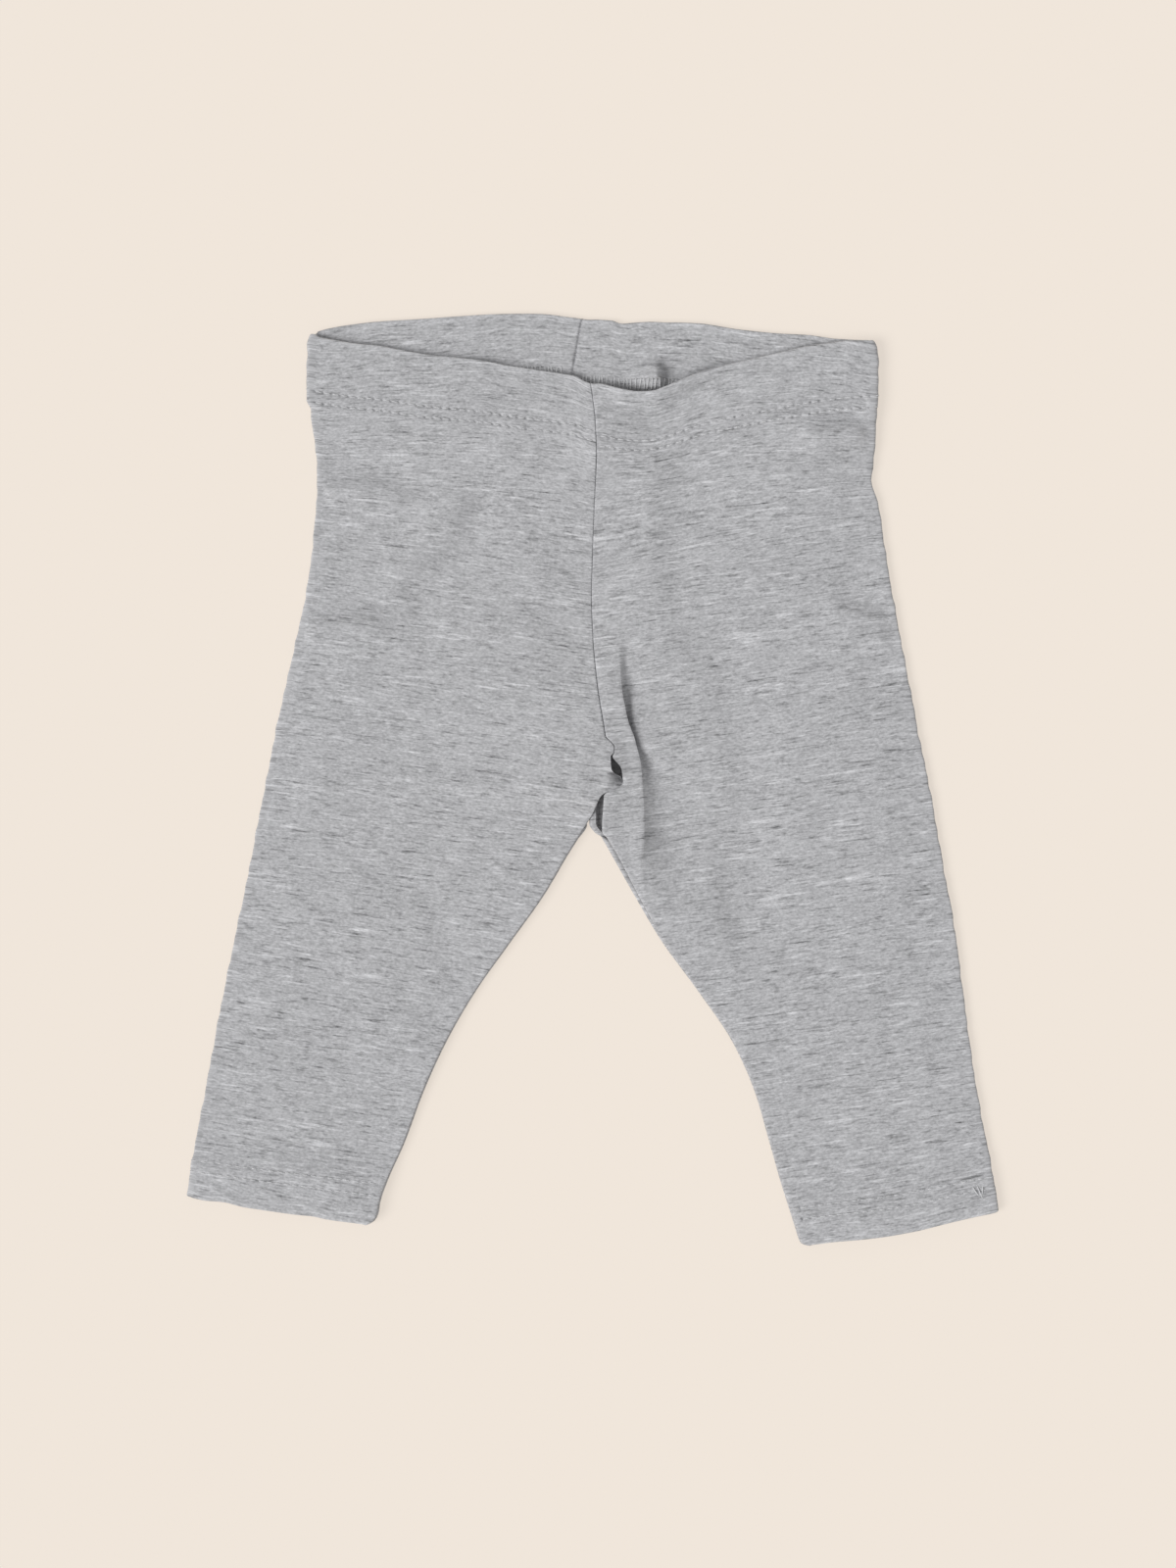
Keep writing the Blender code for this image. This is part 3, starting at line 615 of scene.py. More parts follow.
# The back lies flat on the surface, but for shallow creases where it is lifted off it.
BACK_CREASES = (
    (((-96.0, 112.0), (-60.0, 104.0), (-30.0, 108.0)), 0.0, -0.45, 3.0, 4.0),
    (((92.0, 108.0), (64.0, 101.0), (40.0, 106.0)), 0.0, -0.4, 3.0, 5.0),
    (((-12.0, 96.0), (-30.0, 62.0), (-38.0, 24.0), (-34.0, -14.0)), 0.0, -0.5, 3.5, 5.0),
    (((10.0, 88.0), (26.0, 50.0), (41.0, 16.0), (44.0, -30.0)), 0.0, -0.5, 3.5, 5.0),
    (((-104.0, 44.0), (-80.0, 30.0), (-58.0, 27.0)), 0.0, -0.4, 2.8, 4.0),
    (((106.0, 30.0), (84.0, 18.0), (70.0, -8.0)), 0.0, -0.4, 2.8, 4.0),
    (((-62.0, -40.0), (-84.0, -66.0), (-118.0, -72.0)), 0.0, -0.35, 2.6, 4.0),
    (((58.0, -52.0), (80.0, -70.0), (116.0, -76.0)), 0.0, -0.35, 2.6, 4.0),
)


MOST_LIFT = 0.5             # highest that a crease of the back stands off the surface
LIFT_CLEAR = 4.0            # how far such creases stay off the back's inner edge and the fold
WEB_EDGE = 2.3              # width of the back's edge that is lifted between the legs
WEB_FALL = 1.3              # and the width over which it comes down
WEB_DIP = 0.26              # how far the cloth beside it is drawn in, as a share of the lift
RIM_UNDER = 0.3             # how far a free edge is rounded from below
RIM_OVER = 0.8              # and from above


def squared_quarter(share):
    """Height over its start of a quarter of a squared ellipse, at a share of its width."""
    return 1.0 - (1.0 - (1.0 - share) ** EDGE_SQUARE) ** (1.0 / EDGE_SQUARE)


def half_face(side, rows, spread, depth, relief):
    """Grid of points of one face of a half, from the front's inner edge round the outer
    fold to the back's inner edge. depth is how far it lies under the cloth's outer face.
    The front and back are flat rows with heights on them. The fold's nose is a squared
    ellipse, and a rolled inner edge is a quarter of one down to mid height."""
    outer, front, back = (np.stack((rows[end + "_x"], rows[end + "_y"]), axis=-1)
                          for end in ("outer", "front", "back"))
    front_span = np.linalg.norm(front - outer, axis=2)
    back_span = np.linalg.norm(back - outer, axis=2)
    front_way = (front - outer) / front_span[:, :, None]
    back_way = (back - outer) / back_span[:, :, None]
    closed = rows["closed"]
    middle = rows["fold"] / 2.0
    nose = FOLD_NOSE * middle

    # front: a strip to the tuck's crest, dense columns beyond it, and the rest to the fold
    tuck = read_by_first(TUCK_COLUMNS, TUCK, rows["front_y"])
    crest = tuck["crest_x"] - tuck["lean"] - rows["front_x"]
    strip = np.clip(np.where(side > 0, crest, PLAIN_STRIP), *STRIP_LIMITS)
    beyond = strip + spread["beyond"]
    rest = beyond[:, -1:] + (front_span - nose - beyond[:, -1:]) * spread["rest"]
    from_inner = np.concatenate((strip * spread["strip"], beyond, rest), axis=1)
    from_outer = front_span - from_inner
    points = front - front_way * from_inner[:, :, None]
    x = points[:, :, 0]
    y = points[:, :, 1] + uneven_edges(rows, x, "front")
    calm = ease((from_outer - nose) / FOLD_CALM)
    risen = ease((from_outer - nose) / FOLD_RISE)
    height = rows["fold"] + (rows["loft"] - rows["fold"]) * risen
    height = height + (crease_relief(CREASES, x, y) + uneven_lie(x, y)) * calm
    height = np.maximum(height, 2.0 * rows["wall"] + LEAST_AIR)
    if side < 0:
        low, full = SWELL_LOW
        swell = tuck["seam_rise"] * ease((rows["front_y"] - low) / (full - low))
        height = height + swell * (1.0 - ease(from_inner / SEAM_SWELL))
    leg = "left" if side > 0 else "right"
    height = height + pit_relief(rows["front_y"], from_inner, leg)
    lip = read_by_first(WAIST_COLUMNS, WAIST_LINE, x)["lip"]
    height = height + lip * calm * (1.0 - ease(rows["place"] / LIP_WIDTH))
    level = height - depth
    overlap = np.clip(side * (rows["front_x"] - rows["back_x"]), 0.0, BACK_EDGE)
    overlap = closed * overlap
    share = np.clip((from_inner + overlap) / rows["roll"], 0.0, 1.0)
    edge_middle = rows["loft"] / 2.0
    lip_middle = edge_middle + tuck["seam_rise"] * (1.0 - rows["turn"])
    turned = squared_quarter(share)
    if side > 0:
        shift, rise = tuck_relief(x, y, from_inner, 0.0 if relief else depth)
        x = x + shift
        level = level + rise
    level = level + (lip_middle - level) * rows["turn"] * turned
    x = x + side * rows["turn"] * depth * (1.0 - share)
    if relief:
        level = level + furrow_relief(rows, -from_outer)
        seam = SEAM_DEPTH * closed * bell(from_inner, SEAM_WIDTH)
        slit = SEAM_SLIT * closed * (from_inner < SLIT_REACH)
        x = x + side * (seam * (1.0 - overlap / BACK_EDGE) + slit)
        level = level - seam * overlap / BACK_EDGE
    front_face = np.stack((x, y, level), axis=2)

    # outer fold
    turn = spread["turn"][None, :]
    across = np.abs(np.cos(turn)) ** (2.0 / FOLD_SQUARE)
    upward = np.sign(np.sin(turn)) * np.abs(np.sin(turn)) ** (2.0 / FOLD_SQUARE)
    inward = depth + (nose - depth) * (1.0 - across)
    blend = ((1.0 + np.sin(turn)) / 2.0)[:, :, None]
    way = front_way * blend + back_way * (1.0 - blend)
    points = outer + way * inward[:, :, None]
    level = middle + (middle - depth) * upward
    nose_face = np.concatenate((points, level[:, :, None]), axis=2)

    # back: flat on the surface, then its inner edge, rolled up where the inseam closes it
    along = nose + (back_span - BACK_EDGE - nose) * spread["back"]
    edge = back_span - BACK_EDGE + BACK_EDGE * spread["edge"]
    from_fold = np.concatenate((along, edge), axis=1)
    points = outer + back_way * from_fold[:, :, None]
    x = points[:, :, 0]
    y = points[:, :, 1] + uneven_edges(rows, x, "back")
    to_end = back_span - from_fold
    lifted = 1.0 - ease((to_end - WEB_EDGE) / WEB_FALL)
    lift = np.clip(crease_relief(BACK_CREASES, x, y), 0.0, MOST_LIFT)
    lift = lift * ease((to_end - LIFT_CLEAR) / 6.0) * ease((from_fold - LIFT_CLEAR) / 8.0)
    level = depth + rows["web"] * lifted + lift
    if relief:
        level = level - furrow_relief(rows, from_fold)
        level = level + RIM_UNDER * (1.0 - closed) * bell(to_end, 0.5)
    else:
        level = level - RIM_OVER * (1.0 - closed) * bell(to_end, 0.45)
        beside_web = (1.0 - lifted) * (1.0 - ease((to_end - 8.0) / 4.0))
        level = level - WEB_DIP * rows["web"] * beside_web
        level = level + facing_relief(x, y) * (rows["place"] < CASING_DEPTH)
    seam_turn = np.arccos(1.0 - overlap / BACK_EDGE)
    angle = -np.pi / 2.0 + (seam_turn + np.pi / 2.0) * spread["edge"]
    inward = depth + (BACK_EDGE - depth) * (1.0 - np.cos(angle))
    if relief:
        seam = SEAM_DEPTH * bell(angle - seam_turn, 0.25)
        inward = inward + seam * np.cos(angle)
    rolled = back - back_way * inward[:, :, None]
    rolled_level = edge_middle + (edge_middle - depth) * np.sin(angle)
    if relief:
        rolled_level = rolled_level - seam * np.sin(angle)
    count = along.shape[1]
    x[:, count:] += closed * (rolled[:, :, 0] - x[:, count:])
    y[:, count:] += closed * (rolled[:, :, 1] - y[:, count:])
    level[:, count:] += closed * (rolled_level - level[:, count:])
    back_face = np.stack((x, y, level), axis=2)

    across = np.concatenate((-from_outer, -nose * np.sin(turn), from_fold), axis=1)
    return np.concatenate((front_face, nose_face, back_face), axis=1), across


def half_shell(side, rows, spread):
    """Outer and inner faces of a half, one wall apart. Over the last half wall at the waist
    edge and at the hem both faces curve together as a squared ellipse, so that the edge is
    folded."""
    wall = rows["wall"]
    to_edge = np.minimum(rows["place"], rows["end"] - rows["place"])
    share = np.clip(2.0 * to_edge / wall, 0.0, 1.0)
    thinned = wall / 2.0 * squared_quarter(share)
    outer, across = half_face(side, rows, spread, thinned, True)
    inner, _ = half_face(side, rows, spread, wall - thinned, False)
    return outer, inner, across


WELD = 1e-4                 # points nearer than this are one, as where both faces meet
SHARP_ANGLE = 52.0          # degrees between two faces that count as an edge
INNER_MAP_SHIFT = 0.5       # metres on the cloth's map from the outer to the inner face
LEFT_MAP_SHIFT = 400.0      # and from the right half to the left, in millimetres


def closed_mesh(name, outer, inner, uv, painted_highlight, side):
    """Mesh of the outer grid, the inner grid turned the other way, and the four edges. The last
    argument is a painted highlight: how much each point's colour is made paler where the folded
    edges catch the light."""
    rows, columns = outer.shape[:2]
    count = rows * columns
    index = np.arange(count).reshape(rows, columns)
    quads = np.stack((index[:-1, :-1], index[1:, :-1], index[1:, 1:], index[:-1, 1:]), axis=-1)
    quads = quads.reshape(-1, 4)
    rim = np.concatenate((index[:-1, 0], index[-1, :-1], index[:0:-1, -1], index[0, :0:-1]))
    ahead = np.roll(rim, -1)
    edges = np.stack((ahead, rim, rim + count, ahead + count), axis=-1)
    faces = np.concatenate((quads, quads[:, ::-1] + count, edges))
    if side < 0:
        faces = faces[:, ::-1]
    points = np.concatenate((outer.reshape(-1, 3), inner.reshape(-1, 3))) * MM
    mesh = bpy.data.meshes.new(name)
    mesh.from_pydata(points.tolist(), [], faces.tolist())
    layer = mesh.uv_layers.new(name="cloth")
    both = np.concatenate((uv.reshape(-1, 2), uv.reshape(-1, 2) + INNER_MAP_SHIFT))
    layer.data.foreach_set("uv", both[faces.reshape(-1)].astype(np.float32).reshape(-1))
    # Painted highlight: a share per point by which the cloth's colour is made paler along the
    # folded edges.
    highlight_paling = mesh.attributes.new("painted_highlight", "FLOAT", "POINT")
    highlight_paling.data.foreach_set("value", np.tile(painted_highlight.reshape(-1), 2).astype(np.float32))
    mesh.validate()
    welded = bmesh.new()
    welded.from_mesh(mesh)
    bmesh.ops.remove_doubles(welded, verts=welded.verts, dist=WELD * MM)
    welded.to_mesh(mesh)
    welded.free()
    mesh.shade_smooth()
    mesh.set_sharp_from_angle(angle=np.radians(SHARP_ANGLE))
    return placed(name, mesh)


# Lean of the knitted courses against the rows, in degrees down towards the inner edge, by
# the height y. In the front they also sag below the rows beside the outer folds, by x, where
# the elastic draws the rows up. sagging: how much of this the height y takes part in.
COURSE_COLUMNS = ("y", "lean", "sagging")
COURSE_LEAN = ((-170.0, 1.0, 0.0), (-130.0, 1.5, 0.0), (-70.0, 3.0, 0.0), (30.0, 3.0, 0.0),
               (70.0, 1.0, 0.0), (90.0, -0.2, 0.12), (102.0, -1.0, 0.28), (119.0, -0.8, 0.65),
               (138.0, 0.0, 1.0), (170.0, 0.0, 1.0))
SAG_COLUMNS = ("x", "sag")
COURSE_SAG = ((-101.0, 10.0), (-70.0, 4.6), (-57.0, 2.3), (-43.0, 0.4), (-29.0, -0.7),
              (-20.0, -0.9), (-12.0, -0.7), (0.0, 0.0), (7.0, -0.2), (12.0, -0.8),
              (20.0, -0.9), (26.0, -0.3), (32.0, 0.3), (40.0, 0.6), (47.0, 0.9), (54.0, 1.7),
              (67.0, 3.9), (81.0, 6.6), (95.0, 9.8), (101.0, 11.1))


def cloth_uv(side, rows, points, across):
    """Metres along the courses and along the wales, measured round the fold. The courses
    follow the rows, lean by the tangent of an angle and sag. The back keeps the fold's sag."""
    lean = read_by_first(COURSE_COLUMNS, COURSE_LEAN, points[:, :, 1])
    front_x = np.where(across < 0.0, points[:, :, 0], rows["outer_x"])
    sag = read_by_first(SAG_COLUMNS, COURSE_SAG, front_x)["sag"]
    down = -rows["place"] + np.abs(across) * np.tan(np.radians(lean["lean"]))
    down = down + sag * lean["sagging"]
    u = across + (LEFT_MAP_SHIFT if side > 0 else 0.0)
    return np.stack((u, down), axis=2) * MM


# Painted highlight: the folded edges are painted paler where they catch the light.
HEM_HIGHLIGHT = 0.3              # strength of the painted highlight at the hems, the waist edge being 1
HIGHLIGHT_WIDTH = 0.8


def painted_edge_highlight(rows, across):
    """Painted highlight, as bell curves along the waist edge, the hem and the free edge between
    the legs, where these edges catch the light.
    """
    waist = bell(rows["place"] - 1.1, HIGHLIGHT_WIDTH)
    hem = HEM_HIGHLIGHT * bell(rows["end"] - rows["place"] - 0.8, HIGHLIGHT_WIDTH)
    free = np.clip(rows["web"] / 2.0, 0.0, 1.0) * (across <= across[:, :1] + 1.2)
    return np.clip(waist + hem + free, 0.0, 1.0)


# Melange jersey: fine single jersey of mixed light and dark grey cotton fibres, so that dark
# and pale flecks lie along its courses. It is matt, with a short soft nap. Its colour is
# painted a little paler along the folded edges, a painted highlight where they catch the light.
HIGHLIGHT_PALER = 0.10
WALE = 0.00074              # metres from one column of knitted loops to the next
COURSE = 0.00056            # and from one row of loops to the next
JERSEY_GREY = (0.450, 0.450, 0.462)


def colour_and_bump(material, grey, tone, height, strength, distance):
    """The grey times the tone is the shader's colour, and the height is its bump."""
    nodes, links = material.node_tree.nodes, material.node_tree.links
    shader = nodes["Principled BSDF"]
    scaled = nodes.new("ShaderNodeVectorMath")
    scaled.operation = "SCALE"
    scaled.inputs[0].default_value = grey
    links.new(tone, scaled.inputs["Scale"])
    links.new(scaled.outputs["Vector"], shader.inputs["Base Color"])
    bump = nodes.new("ShaderNodeBump")
    set_sockets(bump, {"Strength": strength, "Distance": distance})
    links.new(height, bump.inputs["Height"])
    links.new(bump.outputs["Normal"], shader.inputs["Normal"])


def melange_jersey(name):
    """Material that reads the cloth's own map. Long thin noise along the courses gives the
    flecks, short noise the specks, and fine waves the loops of the knit."""
    material = plain_material(name, {"Roughness": 0.9, "Specular IOR Level": 0.2,
                                     "Sheen Weight": 0.12, "Sheen Roughness": 0.6})
    nodes, links = material.node_tree.nodes, material.node_tree.links
    cloth_map = nodes.new("ShaderNodeUVMap")
    cloth_map.uv_map = "cloth"

    def noise(u_scale, v_scale, shift, detail, roughness):
        place = nodes.new("ShaderNodeMapping")
        set_sockets(place, {"Location": (shift, shift * 0.7, shift * 1.3),
                            "Scale": (u_scale, v_scale, 1.0)})
        links.new(cloth_map.outputs["UV"], place.inputs["Vector"])
        cell = nodes.new("ShaderNodeTexNoise")
        set_sockets(cell, {"Scale": 1.0, "Detail": detail, "Roughness": roughness})
        links.new(place.outputs["Vector"], cell.inputs["Vector"])
        return cell.outputs["Fac"]

    def ranged(value, low, high, out_low, out_high):
        step = nodes.new("ShaderNodeMapRange")
        step.interpolation_type = "SMOOTHSTEP"
        set_sockets(step, {"From Min": low, "From Max": high, "To Min": out_low,
                           "To Max": out_high})
        links.new(value, step.inputs["Value"])
        return step.outputs["Result"]

    def joined(kind, first, second):
        node = nodes.new("ShaderNodeMath")
        node.operation = kind
        links.new(first, node.inputs[0])
        if isinstance(second, float):
            node.inputs[1].default_value = second
        else:
            links.new(second, node.inputs[1])
        return node.outputs["Value"]

    def clustered(fleck, u_scale, v_scale, shift, weight):
        patch = joined("MULTIPLY", noise(u_scale, v_scale, shift, 1.0, 0.5), weight)
        return joined("ADD", joined("ADD", fleck, patch), -weight / 2.0)

    long_dark = clustered(noise(85.0, 1250.0, 3.1, 1.0, 0.5), 60.0, 260.0, 8.6, 0.28)
    long_pale = clustered(noise(94.0, 1250.0, 17.3, 1.0, 0.5), 60.0, 260.0, 22.8, 0.28)
    dark = joined("ADD", ranged(long_dark, 0.56, 0.82, 0.0, -0.44),
                  ranged(noise(260.0, 1350.0, 71.2, 1.0, 0.5), 0.50, 0.80, 0.0, -0.35))
    pale = joined("ADD", ranged(long_pale, 0.56, 0.82, 0.0, 0.39),
                  ranged(noise(260.0, 1350.0, 85.4, 1.0, 0.5), 0.50, 0.80, 0.0, 0.27))
    specks = ranged(noise(950.0, 1750.0, 29.7, 1.0, 0.6), 0.20, 0.80, -0.19, 0.19)
    drift = ranged(noise(70.0, 140.0, 41.9, 1.0, 0.5), 0.3, 0.7, -0.028, 0.028)
    tone = joined("ADD", joined("ADD", dark, pale), joined("ADD", specks, drift))
    # Painted highlight: the colour is made paler along the folded edges by the attribute that
    # the meshes carry.
    painted_highlight = nodes.new("ShaderNodeAttribute")
    painted_highlight.attribute_name = "painted_highlight"
    highlight_paling = joined("MULTIPLY", painted_highlight.outputs["Fac"], HIGHLIGHT_PALER)
    tone = joined("ADD", joined("ADD", tone, 1.0), highlight_paling)

    apart = nodes.new("ShaderNodeSeparateXYZ")
    links.new(cloth_map.outputs["UV"], apart.inputs["Vector"])
    wales = joined("SINE", joined("MULTIPLY", apart.outputs["X"], 2.0 * np.pi / WALE), 0.0)
    courses = joined("SINE", joined("MULTIPLY", apart.outputs["Y"], 2.0 * np.pi / COURSE), 0.0)
    loops = joined("MULTIPLY", joined("MULTIPLY", wales, courses), 0.35)
    fibre = noise(2200.0, 3000.0, 53.3, 2.0, 0.6)
    colour_and_bump(material, JERSEY_GREY, tone, joined("ADD", loops, fibre), 0.35, 0.00012)
    return material


leg_jersey = melange_jersey("leg_jersey")
casing_jersey = melange_jersey("casing_jersey")


def eased_shares(count):
    """Shares from 0 to 1 that lie closer together at both ends, by a cosine."""
    return (1.0 - np.cos(np.pi * np.linspace(0.0, 1.0, count))) / 2.0


# How the columns of a face are spread: shares of the strip beside the seam, distances beyond
# it, shares of the rest of the front, angles round the fold, and shares of the back and of
# its edge.
LEG_SPREAD = {
    "strip": eased_shares(22)[None, :],
    "beyond": (10.0 * np.linspace(0.0, 1.0, 27)[1:] ** 1.7)[None, :],
    "rest": np.linspace(0.0, 1.0, 43)[None, 1:],
    "turn": np.radians(np.linspace(90.0, -90.0, 15)[1:-1]),
    "back": (1.0 - (1.0 - np.linspace(0.0, 1.0, 36)) ** 1.4)[None, :],
    "edge": np.linspace(0.0, 1.0, 11)[None, 1:],
}


LEG_START = CASING_ROWS[1] + 0.9    # where the leg's piece begins, down from the waist edge
CLOSER_AT = (52.0, 18.0, -24.0, -46.0)  # heights y round the tuck and the crotch


def leg_places(outline):
    """Distances of the rows from the waist edge: close at the casing, at the crotch and at
    the hem, and 2 mm apart between."""
    down = place_of_rows(outline)
    end = down[-1]
    front_y = np.array([row[3] for row in outline])
    tuck_top, crotch_top, crotch_end, tuck_end = np.interp(
        -np.array(CLOSER_AT), -front_y, down)
    stops = ((LEG_START, 0.5), (LEG_START + 3.0, 2.0), (tuck_top, 1.2), (crotch_top, 0.5),
             (crotch_end, 1.2), (tuck_end, 2.0), (end - HEM_DEPTH - 2.0, 0.6),
             (end - 6.0, 1.2), (end - 1.0, 0.5))
    ends = [stop[0] for stop in stops[1:]] + [end - 1.0]
    places = [np.linspace(a, b, int(np.ceil((b - a) / step)) + 1)[:-1]
              for (a, step), b in zip(stops, ends) if b > a]
    nose = end - HEM / 2.0 * (1.0 - np.sin(np.linspace(0.0, np.pi / 2.0, 7)))
    return np.concatenate(places + [nose])


def jersey_piece(node, half, places, spread, jersey):
    """The cloth that stands for one node: its shell, its map and its painted edge highlight,
    its body and finish; the node's own part is hidden."""
    side, outline, edge = half
    rows = cloth_rows(outline, edge, places)
    outer, inner, across = half_shell(side, rows, spread)
    uv = cloth_uv(side, rows, outer, across)
    piece = closed_mesh("jersey_" + node, outer, inner, uv, painted_edge_highlight(rows, across), side)
    piece.data.materials.append(jersey)
    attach(piece, "root")
    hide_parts(node)


for half_name, half in HALVES.items():
    jersey_piece(half_name + "_leg", half, leg_places(half[1]), LEG_SPREAD,
                 leg_jersey)

# ------------------------------------------------------------------ waistband casing
# The top of each half, turned to the inside over a soft elastic and stitched down. It is
# a double wall with the folded edge at the waist.
CASING_SPREAD = {
    "strip": eased_shares(18)[None, :],
    "beyond": np.linspace(0.6, 9.0, 15)[None, :],
    "rest": np.linspace(0.0, 1.0, 281)[None, 1:],
    "turn": np.radians(np.linspace(90.0, -90.0, 15)[1:-1]),
    "back": np.linspace(0.0, 1.0, 211)[None, :],
    "edge": eased_shares(11)[None, 1:],
}


def casing_places():
    """Rows from the folded waist edge down to where the leg begins, close together in the
    rounded edge and in the two stitch rows."""
    nose = CASING / 2.0 * (1.0 - np.cos(np.linspace(0.0, np.pi / 2.0, 9)[:-1]))
    upper = np.linspace(CASING / 2.0, CASING_ROWS[0] - 1.6, 16)
    stitched = np.linspace(CASING_ROWS[0] - 1.6, LEG_START, 22)[1:]
    return np.concatenate((nose, upper, stitched))


for half_name, half in HALVES.items():
    jersey_piece("waistband_" + half_name, half, casing_places(), CASING_SPREAD,
                 casing_jersey)

# ------------------------------------------------------------------ coverstitch
# The casing and the hems are sewn down with a twin-needle coverstitch in grey spun thread:
# outside two rows of short stitches, inside a looper thread that ladders between them.
NEEDLE_RADIUS = 0.21
NEEDLE_SHOWN = 2.4          # how much of a stitch shows, of the 3 mm from hole to hole
NEEDLE_LIFT = 0.18          # of its middle over the furrow
NEEDLE_SINK = 0.60          # of its ends into the holes
LOOPER_RADIUS = 0.28
LOOPER_STEP = 1.45
LOOPER_LIFT = 0.16
LOOPER_SINK = 0.20
LOOPER_PAST = 0.5           # how far the looper reaches past the needle rows
LOOPER_SLANT = 0.16
LOOPER_SWAY = 0.22          # how unevenly the strokes are spaced
LOOPER_MARGIN = 1.2         # how far from the ends of a row the strokes stay
ROW_PROBE = 0.3             # distance to the cloth's rows on both sides of a stitch row
BOARD_CLEAR = 0.01          # least height of a thread's underside
THREAD_GREY = (0.60, 0.60, 0.61)
THREAD_SIDES = 5


def spun_thread(name):
    """Material of spun thread: noise a third of a millimetre long makes its fibres paler
    and darker, and the same noise roughens it."""
    material = plain_material(name, {"Roughness": 0.8, "Specular IOR Level": 0.25,
                                     "Sheen Weight": 0.1})
    nodes, links = material.node_tree.nodes, material.node_tree.links
    place = nodes.new("ShaderNodeTexCoord")
    fibre = nodes.new("ShaderNodeTexNoise")
    set_sockets(fibre, {"Scale": 3000.0, "Detail": 2.0})
    links.new(place.outputs["Object"], fibre.inputs["Vector"])
    tone = nodes.new("ShaderNodeMapRange")
    set_sockets(tone, {"From Min": 0.3, "From Max": 0.7, "To Min": 0.8, "To Max": 1.2})
    links.new(fibre.outputs["Fac"], tone.inputs["Value"])
    colour_and_bump(material, THREAD_GREY, tone.outputs["Result"], fibre.outputs["Fac"],
                    0.4, 0.00005)
    return material


grey_thread = spun_thread("grey_thread")


def read_along(run, line, wanted):
    """Points of a line at the wanted distances along it."""
    return np.stack([np.interp(wanted, run, line[:, axis]) for axis in range(3)], axis=-1)


def arch(t, lift, sink):
    """Height of a stitch over the cloth: lift in its middle, falling off as the fourth power
    of the distance from there to sink at its ends."""
    return lift - (lift + sink) * t ** 4


def needle_row(half, spread, place):
    """Centre lines of one row's stitches, arched from hole to hole, and the cloth's outward
    direction beside them."""
    side, outline, edge = half
    rows = cloth_rows(outline, edge, place + ROW_PROBE * np.array((-1.0, 0.0, 1.0)))
    outer, inner, across = half_shell(side, rows, spread)
    outward = outer[1] - inner[1]
    outward /= np.linalg.norm(outward, axis=1, keepdims=True)
    run = across[1]
    middle = STITCH * (np.arange(np.ceil(run[0] / STITCH + 0.2),
                                 np.floor(run[-1] / STITCH - 0.2)) + 0.5)
    t = np.linspace(-1.0, 1.0, 7)
    at = middle[:, None] + t * NEEDLE_SHOWN / 2.0
    out = read_along(run, outward, at)
    lift = arch(t, NEEDLE_LIFT, NEEDLE_SINK)
    return read_along(run, outer[1], at) + out * lift[:, None], out


def looper_row(half, spread, upper, lower):
    """Centre lines of the looper's strokes over the inner face and the direction off it.
    The strokes run from one needle row to the other, lean to either side in turn and are
    swayed by a sine of the square of their number."""
    side, outline, edge = half
    places = np.linspace(upper - LOOPER_PAST, lower + LOOPER_PAST, 5)
    rows = cloth_rows(outline, edge, places)
    outer, inner, across = half_shell(side, rows, spread)
    off = inner - outer
    off /= np.linalg.norm(off, axis=2, keepdims=True)
    first = across[:, 0].max() + LOOPER_MARGIN
    count = int((across[:, -1].min() - LOOPER_MARGIN - first) / LOOPER_STEP)
    number = np.arange(count)
    middle = first + LOOPER_STEP * number + LOOPER_SWAY * np.sin(number * number * 0.7)
    slant = LOOPER_SLANT * (-1.0) ** number + LOOPER_SLANT * np.sin(number * 1.9)
    t = np.linspace(-1.0, 1.0, 5)
    points = np.stack([read_along(across[j], inner[j], middle + slant * t[j])
                       for j in range(5)], axis=1)
    out = np.stack([read_along(across[j], off[j], middle) for j in range(5)], axis=1)
    lift = arch(t, LOOPER_LIFT, LOOPER_SINK)
    return points + out * lift[:, None], out


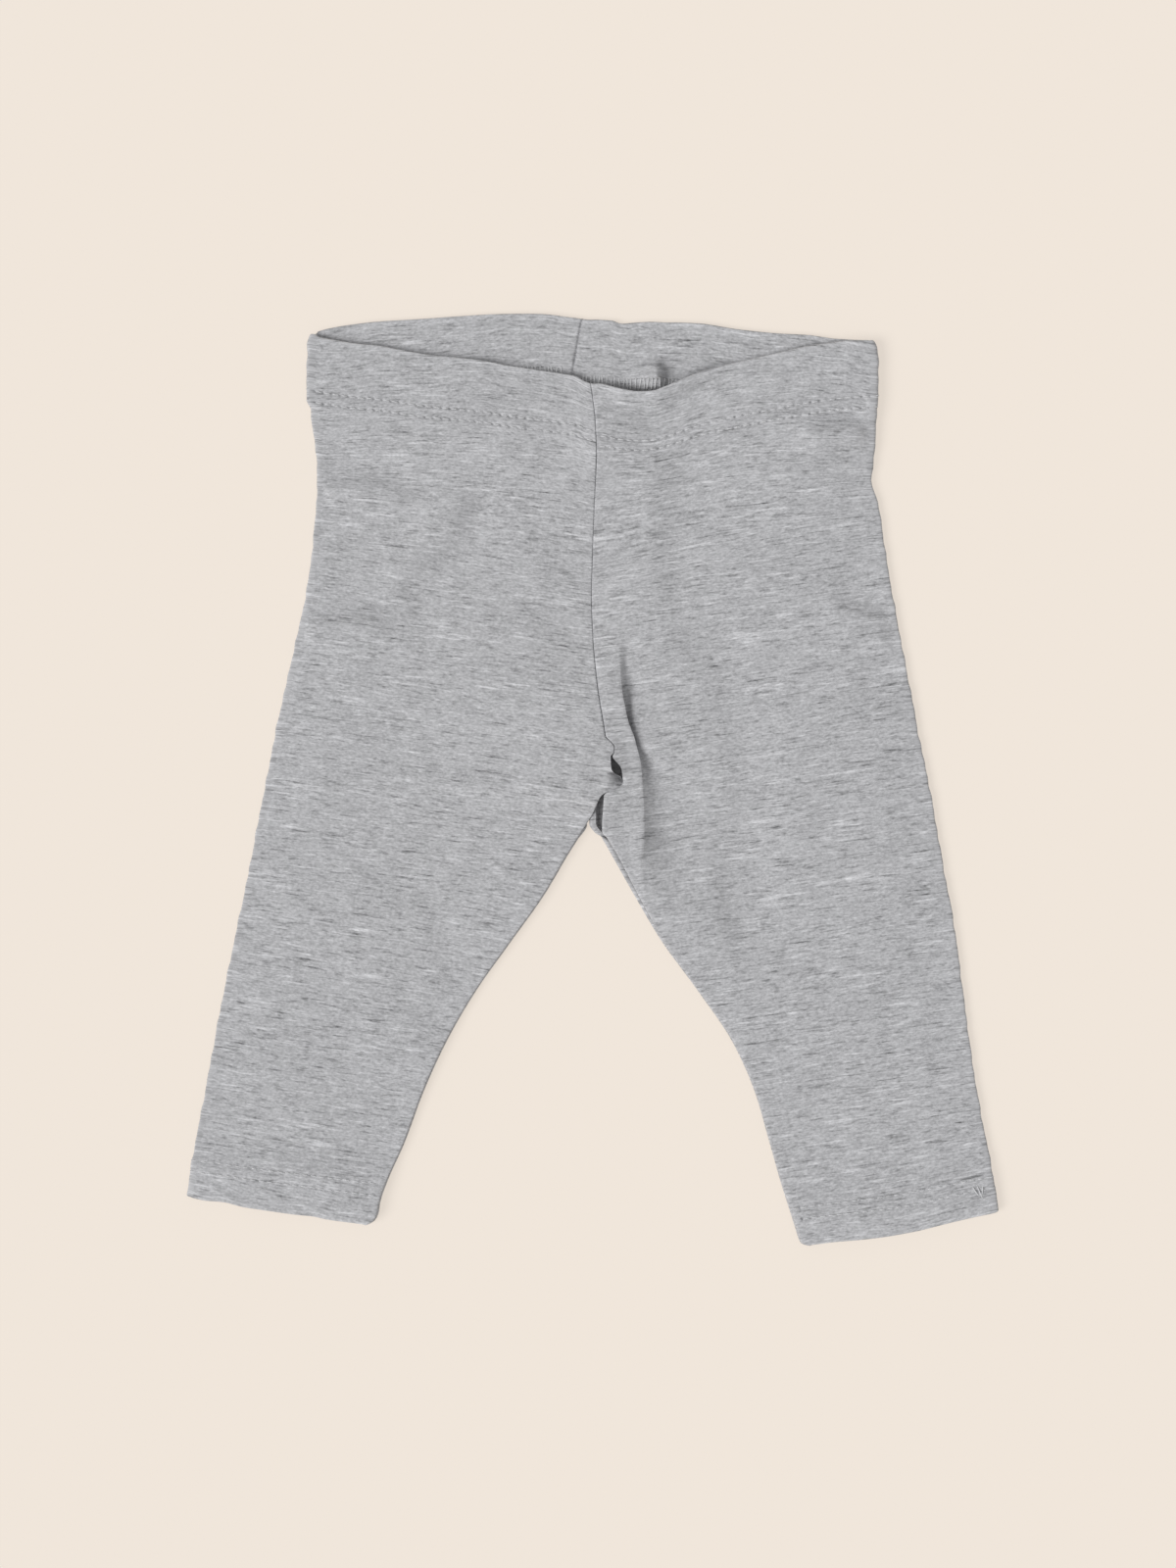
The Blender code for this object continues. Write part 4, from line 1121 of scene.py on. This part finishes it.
def thread_piece(name, groups, radius):
    """Closed tubes round all the centre lines, joined in one mesh. A ring lies across the
    run, its first point beside the thread and its second towards the outward direction. No
    thread reaches below the surface that the garment lies on."""
    vertices, faces, start = [], [], 0
    for lines, out in groups:
        lines = lines.copy()
        lines[:, :, 2] = np.maximum(lines[:, :, 2], radius + BOARD_CLEAR)
        way = np.gradient(lines, axis=1)
        way /= np.linalg.norm(way, axis=2, keepdims=True)
        beside = np.cross(way, out)
        beside /= np.linalg.norm(beside, axis=2, keepdims=True)
        over = np.cross(beside, way)
        turn = np.linspace(0.0, 2.0 * np.pi, THREAD_SIDES, endpoint=False)[:, None]
        ring = beside[:, :, None] * np.cos(turn) + over[:, :, None] * np.sin(turn)
        points = lines[:, :, None] + radius * ring
        index = start + np.arange(points.size // 3).reshape(points.shape[:3])
        ahead = np.roll(index, -1, axis=2)
        quads = np.stack((index[:, :-1], index[:, 1:], ahead[:, 1:], ahead[:, :-1]), axis=-1)
        faces += quads.reshape(-1, 4).tolist()
        faces += index[:, 0].tolist() + index[:, -1, ::-1].tolist()
        vertices.append(points.reshape(-1, 3) * MM)
        start += points.size // 3
    mesh = bpy.data.meshes.new(name)
    mesh.from_pydata(np.concatenate(vertices).tolist(), [], faces)
    mesh.shade_smooth()
    mesh.materials.append(grey_thread)
    piece = placed(name, mesh)
    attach(piece, "root")


thread_piece("needle_thread_waistband",
             [needle_row(half, CASING_SPREAD, place)
              for half in HALVES.values() for place in CASING_ROWS], NEEDLE_RADIUS)
thread_piece("looper_thread_waistband",
             [looper_row(half, CASING_SPREAD, *CASING_ROWS) for half in HALVES.values()],
             LOOPER_RADIUS)
for half_name, half in HALVES.items():
    hem_end = place_of_rows(half[1])[-1]
    thread_piece("needle_thread_" + half_name + "_hem",
                 [needle_row(half, LEG_SPREAD, hem_end - up) for up in HEM_ROWS], NEEDLE_RADIUS)
    thread_piece("looper_thread_" + half_name + "_hem",
                 [looper_row(half, LEG_SPREAD, hem_end - HEM_ROWS[1], hem_end - HEM_ROWS[0])],
                 LOOPER_RADIUS)

# Back tack where the left hem's seam starts and ends: three stitches across the two rows.
TACK_LINES = (((133.5, -142.8), (136.1, -146.6)), ((135.1, -142.1), (137.5, -147.7)),
              ((137.5, -142.5), (137.0, -147.0)))
TACK_RADIUS = 0.22
TACK_ROWS = 90              # rows of the leg, counted from the hem, that the tack may lie on
TACK_DIP = 0.5


def tack_lines():
    """Each stitch lies on the left leg's front, whose height is read from the nearest of its
    points, and its ends dip into the cloth as the fourth power."""
    rows = cloth_rows(LEFT_OUTLINE, LEFT_EDGE, leg_places(LEFT_OUTLINE)[-TACK_ROWS:])
    outer, _, across = half_shell(1, rows, LEG_SPREAD)
    front = outer[across < -2.0]
    ends = np.array(TACK_LINES)
    t = np.linspace(-1.0, 1.0, 7)
    share = (t[:, None] + 1.0) / 2.0
    lines = ends[:, :1] * (1.0 - share) + ends[:, 1:] * share
    near = np.argmin(np.sum((lines[:, :, None] - front[:, :2]) ** 2, axis=3), axis=2)
    top = front[near, 2].max(axis=1, keepdims=True) + 0.5 * TACK_RADIUS - TACK_DIP * t ** 4
    out = np.zeros(lines.shape[:2] + (3,))
    out[:, :, 2] = 1.0
    return np.concatenate((lines, top[:, :, None]), axis=2), out


thread_piece("tack_left_hem", [tack_lines()], TACK_RADIUS)
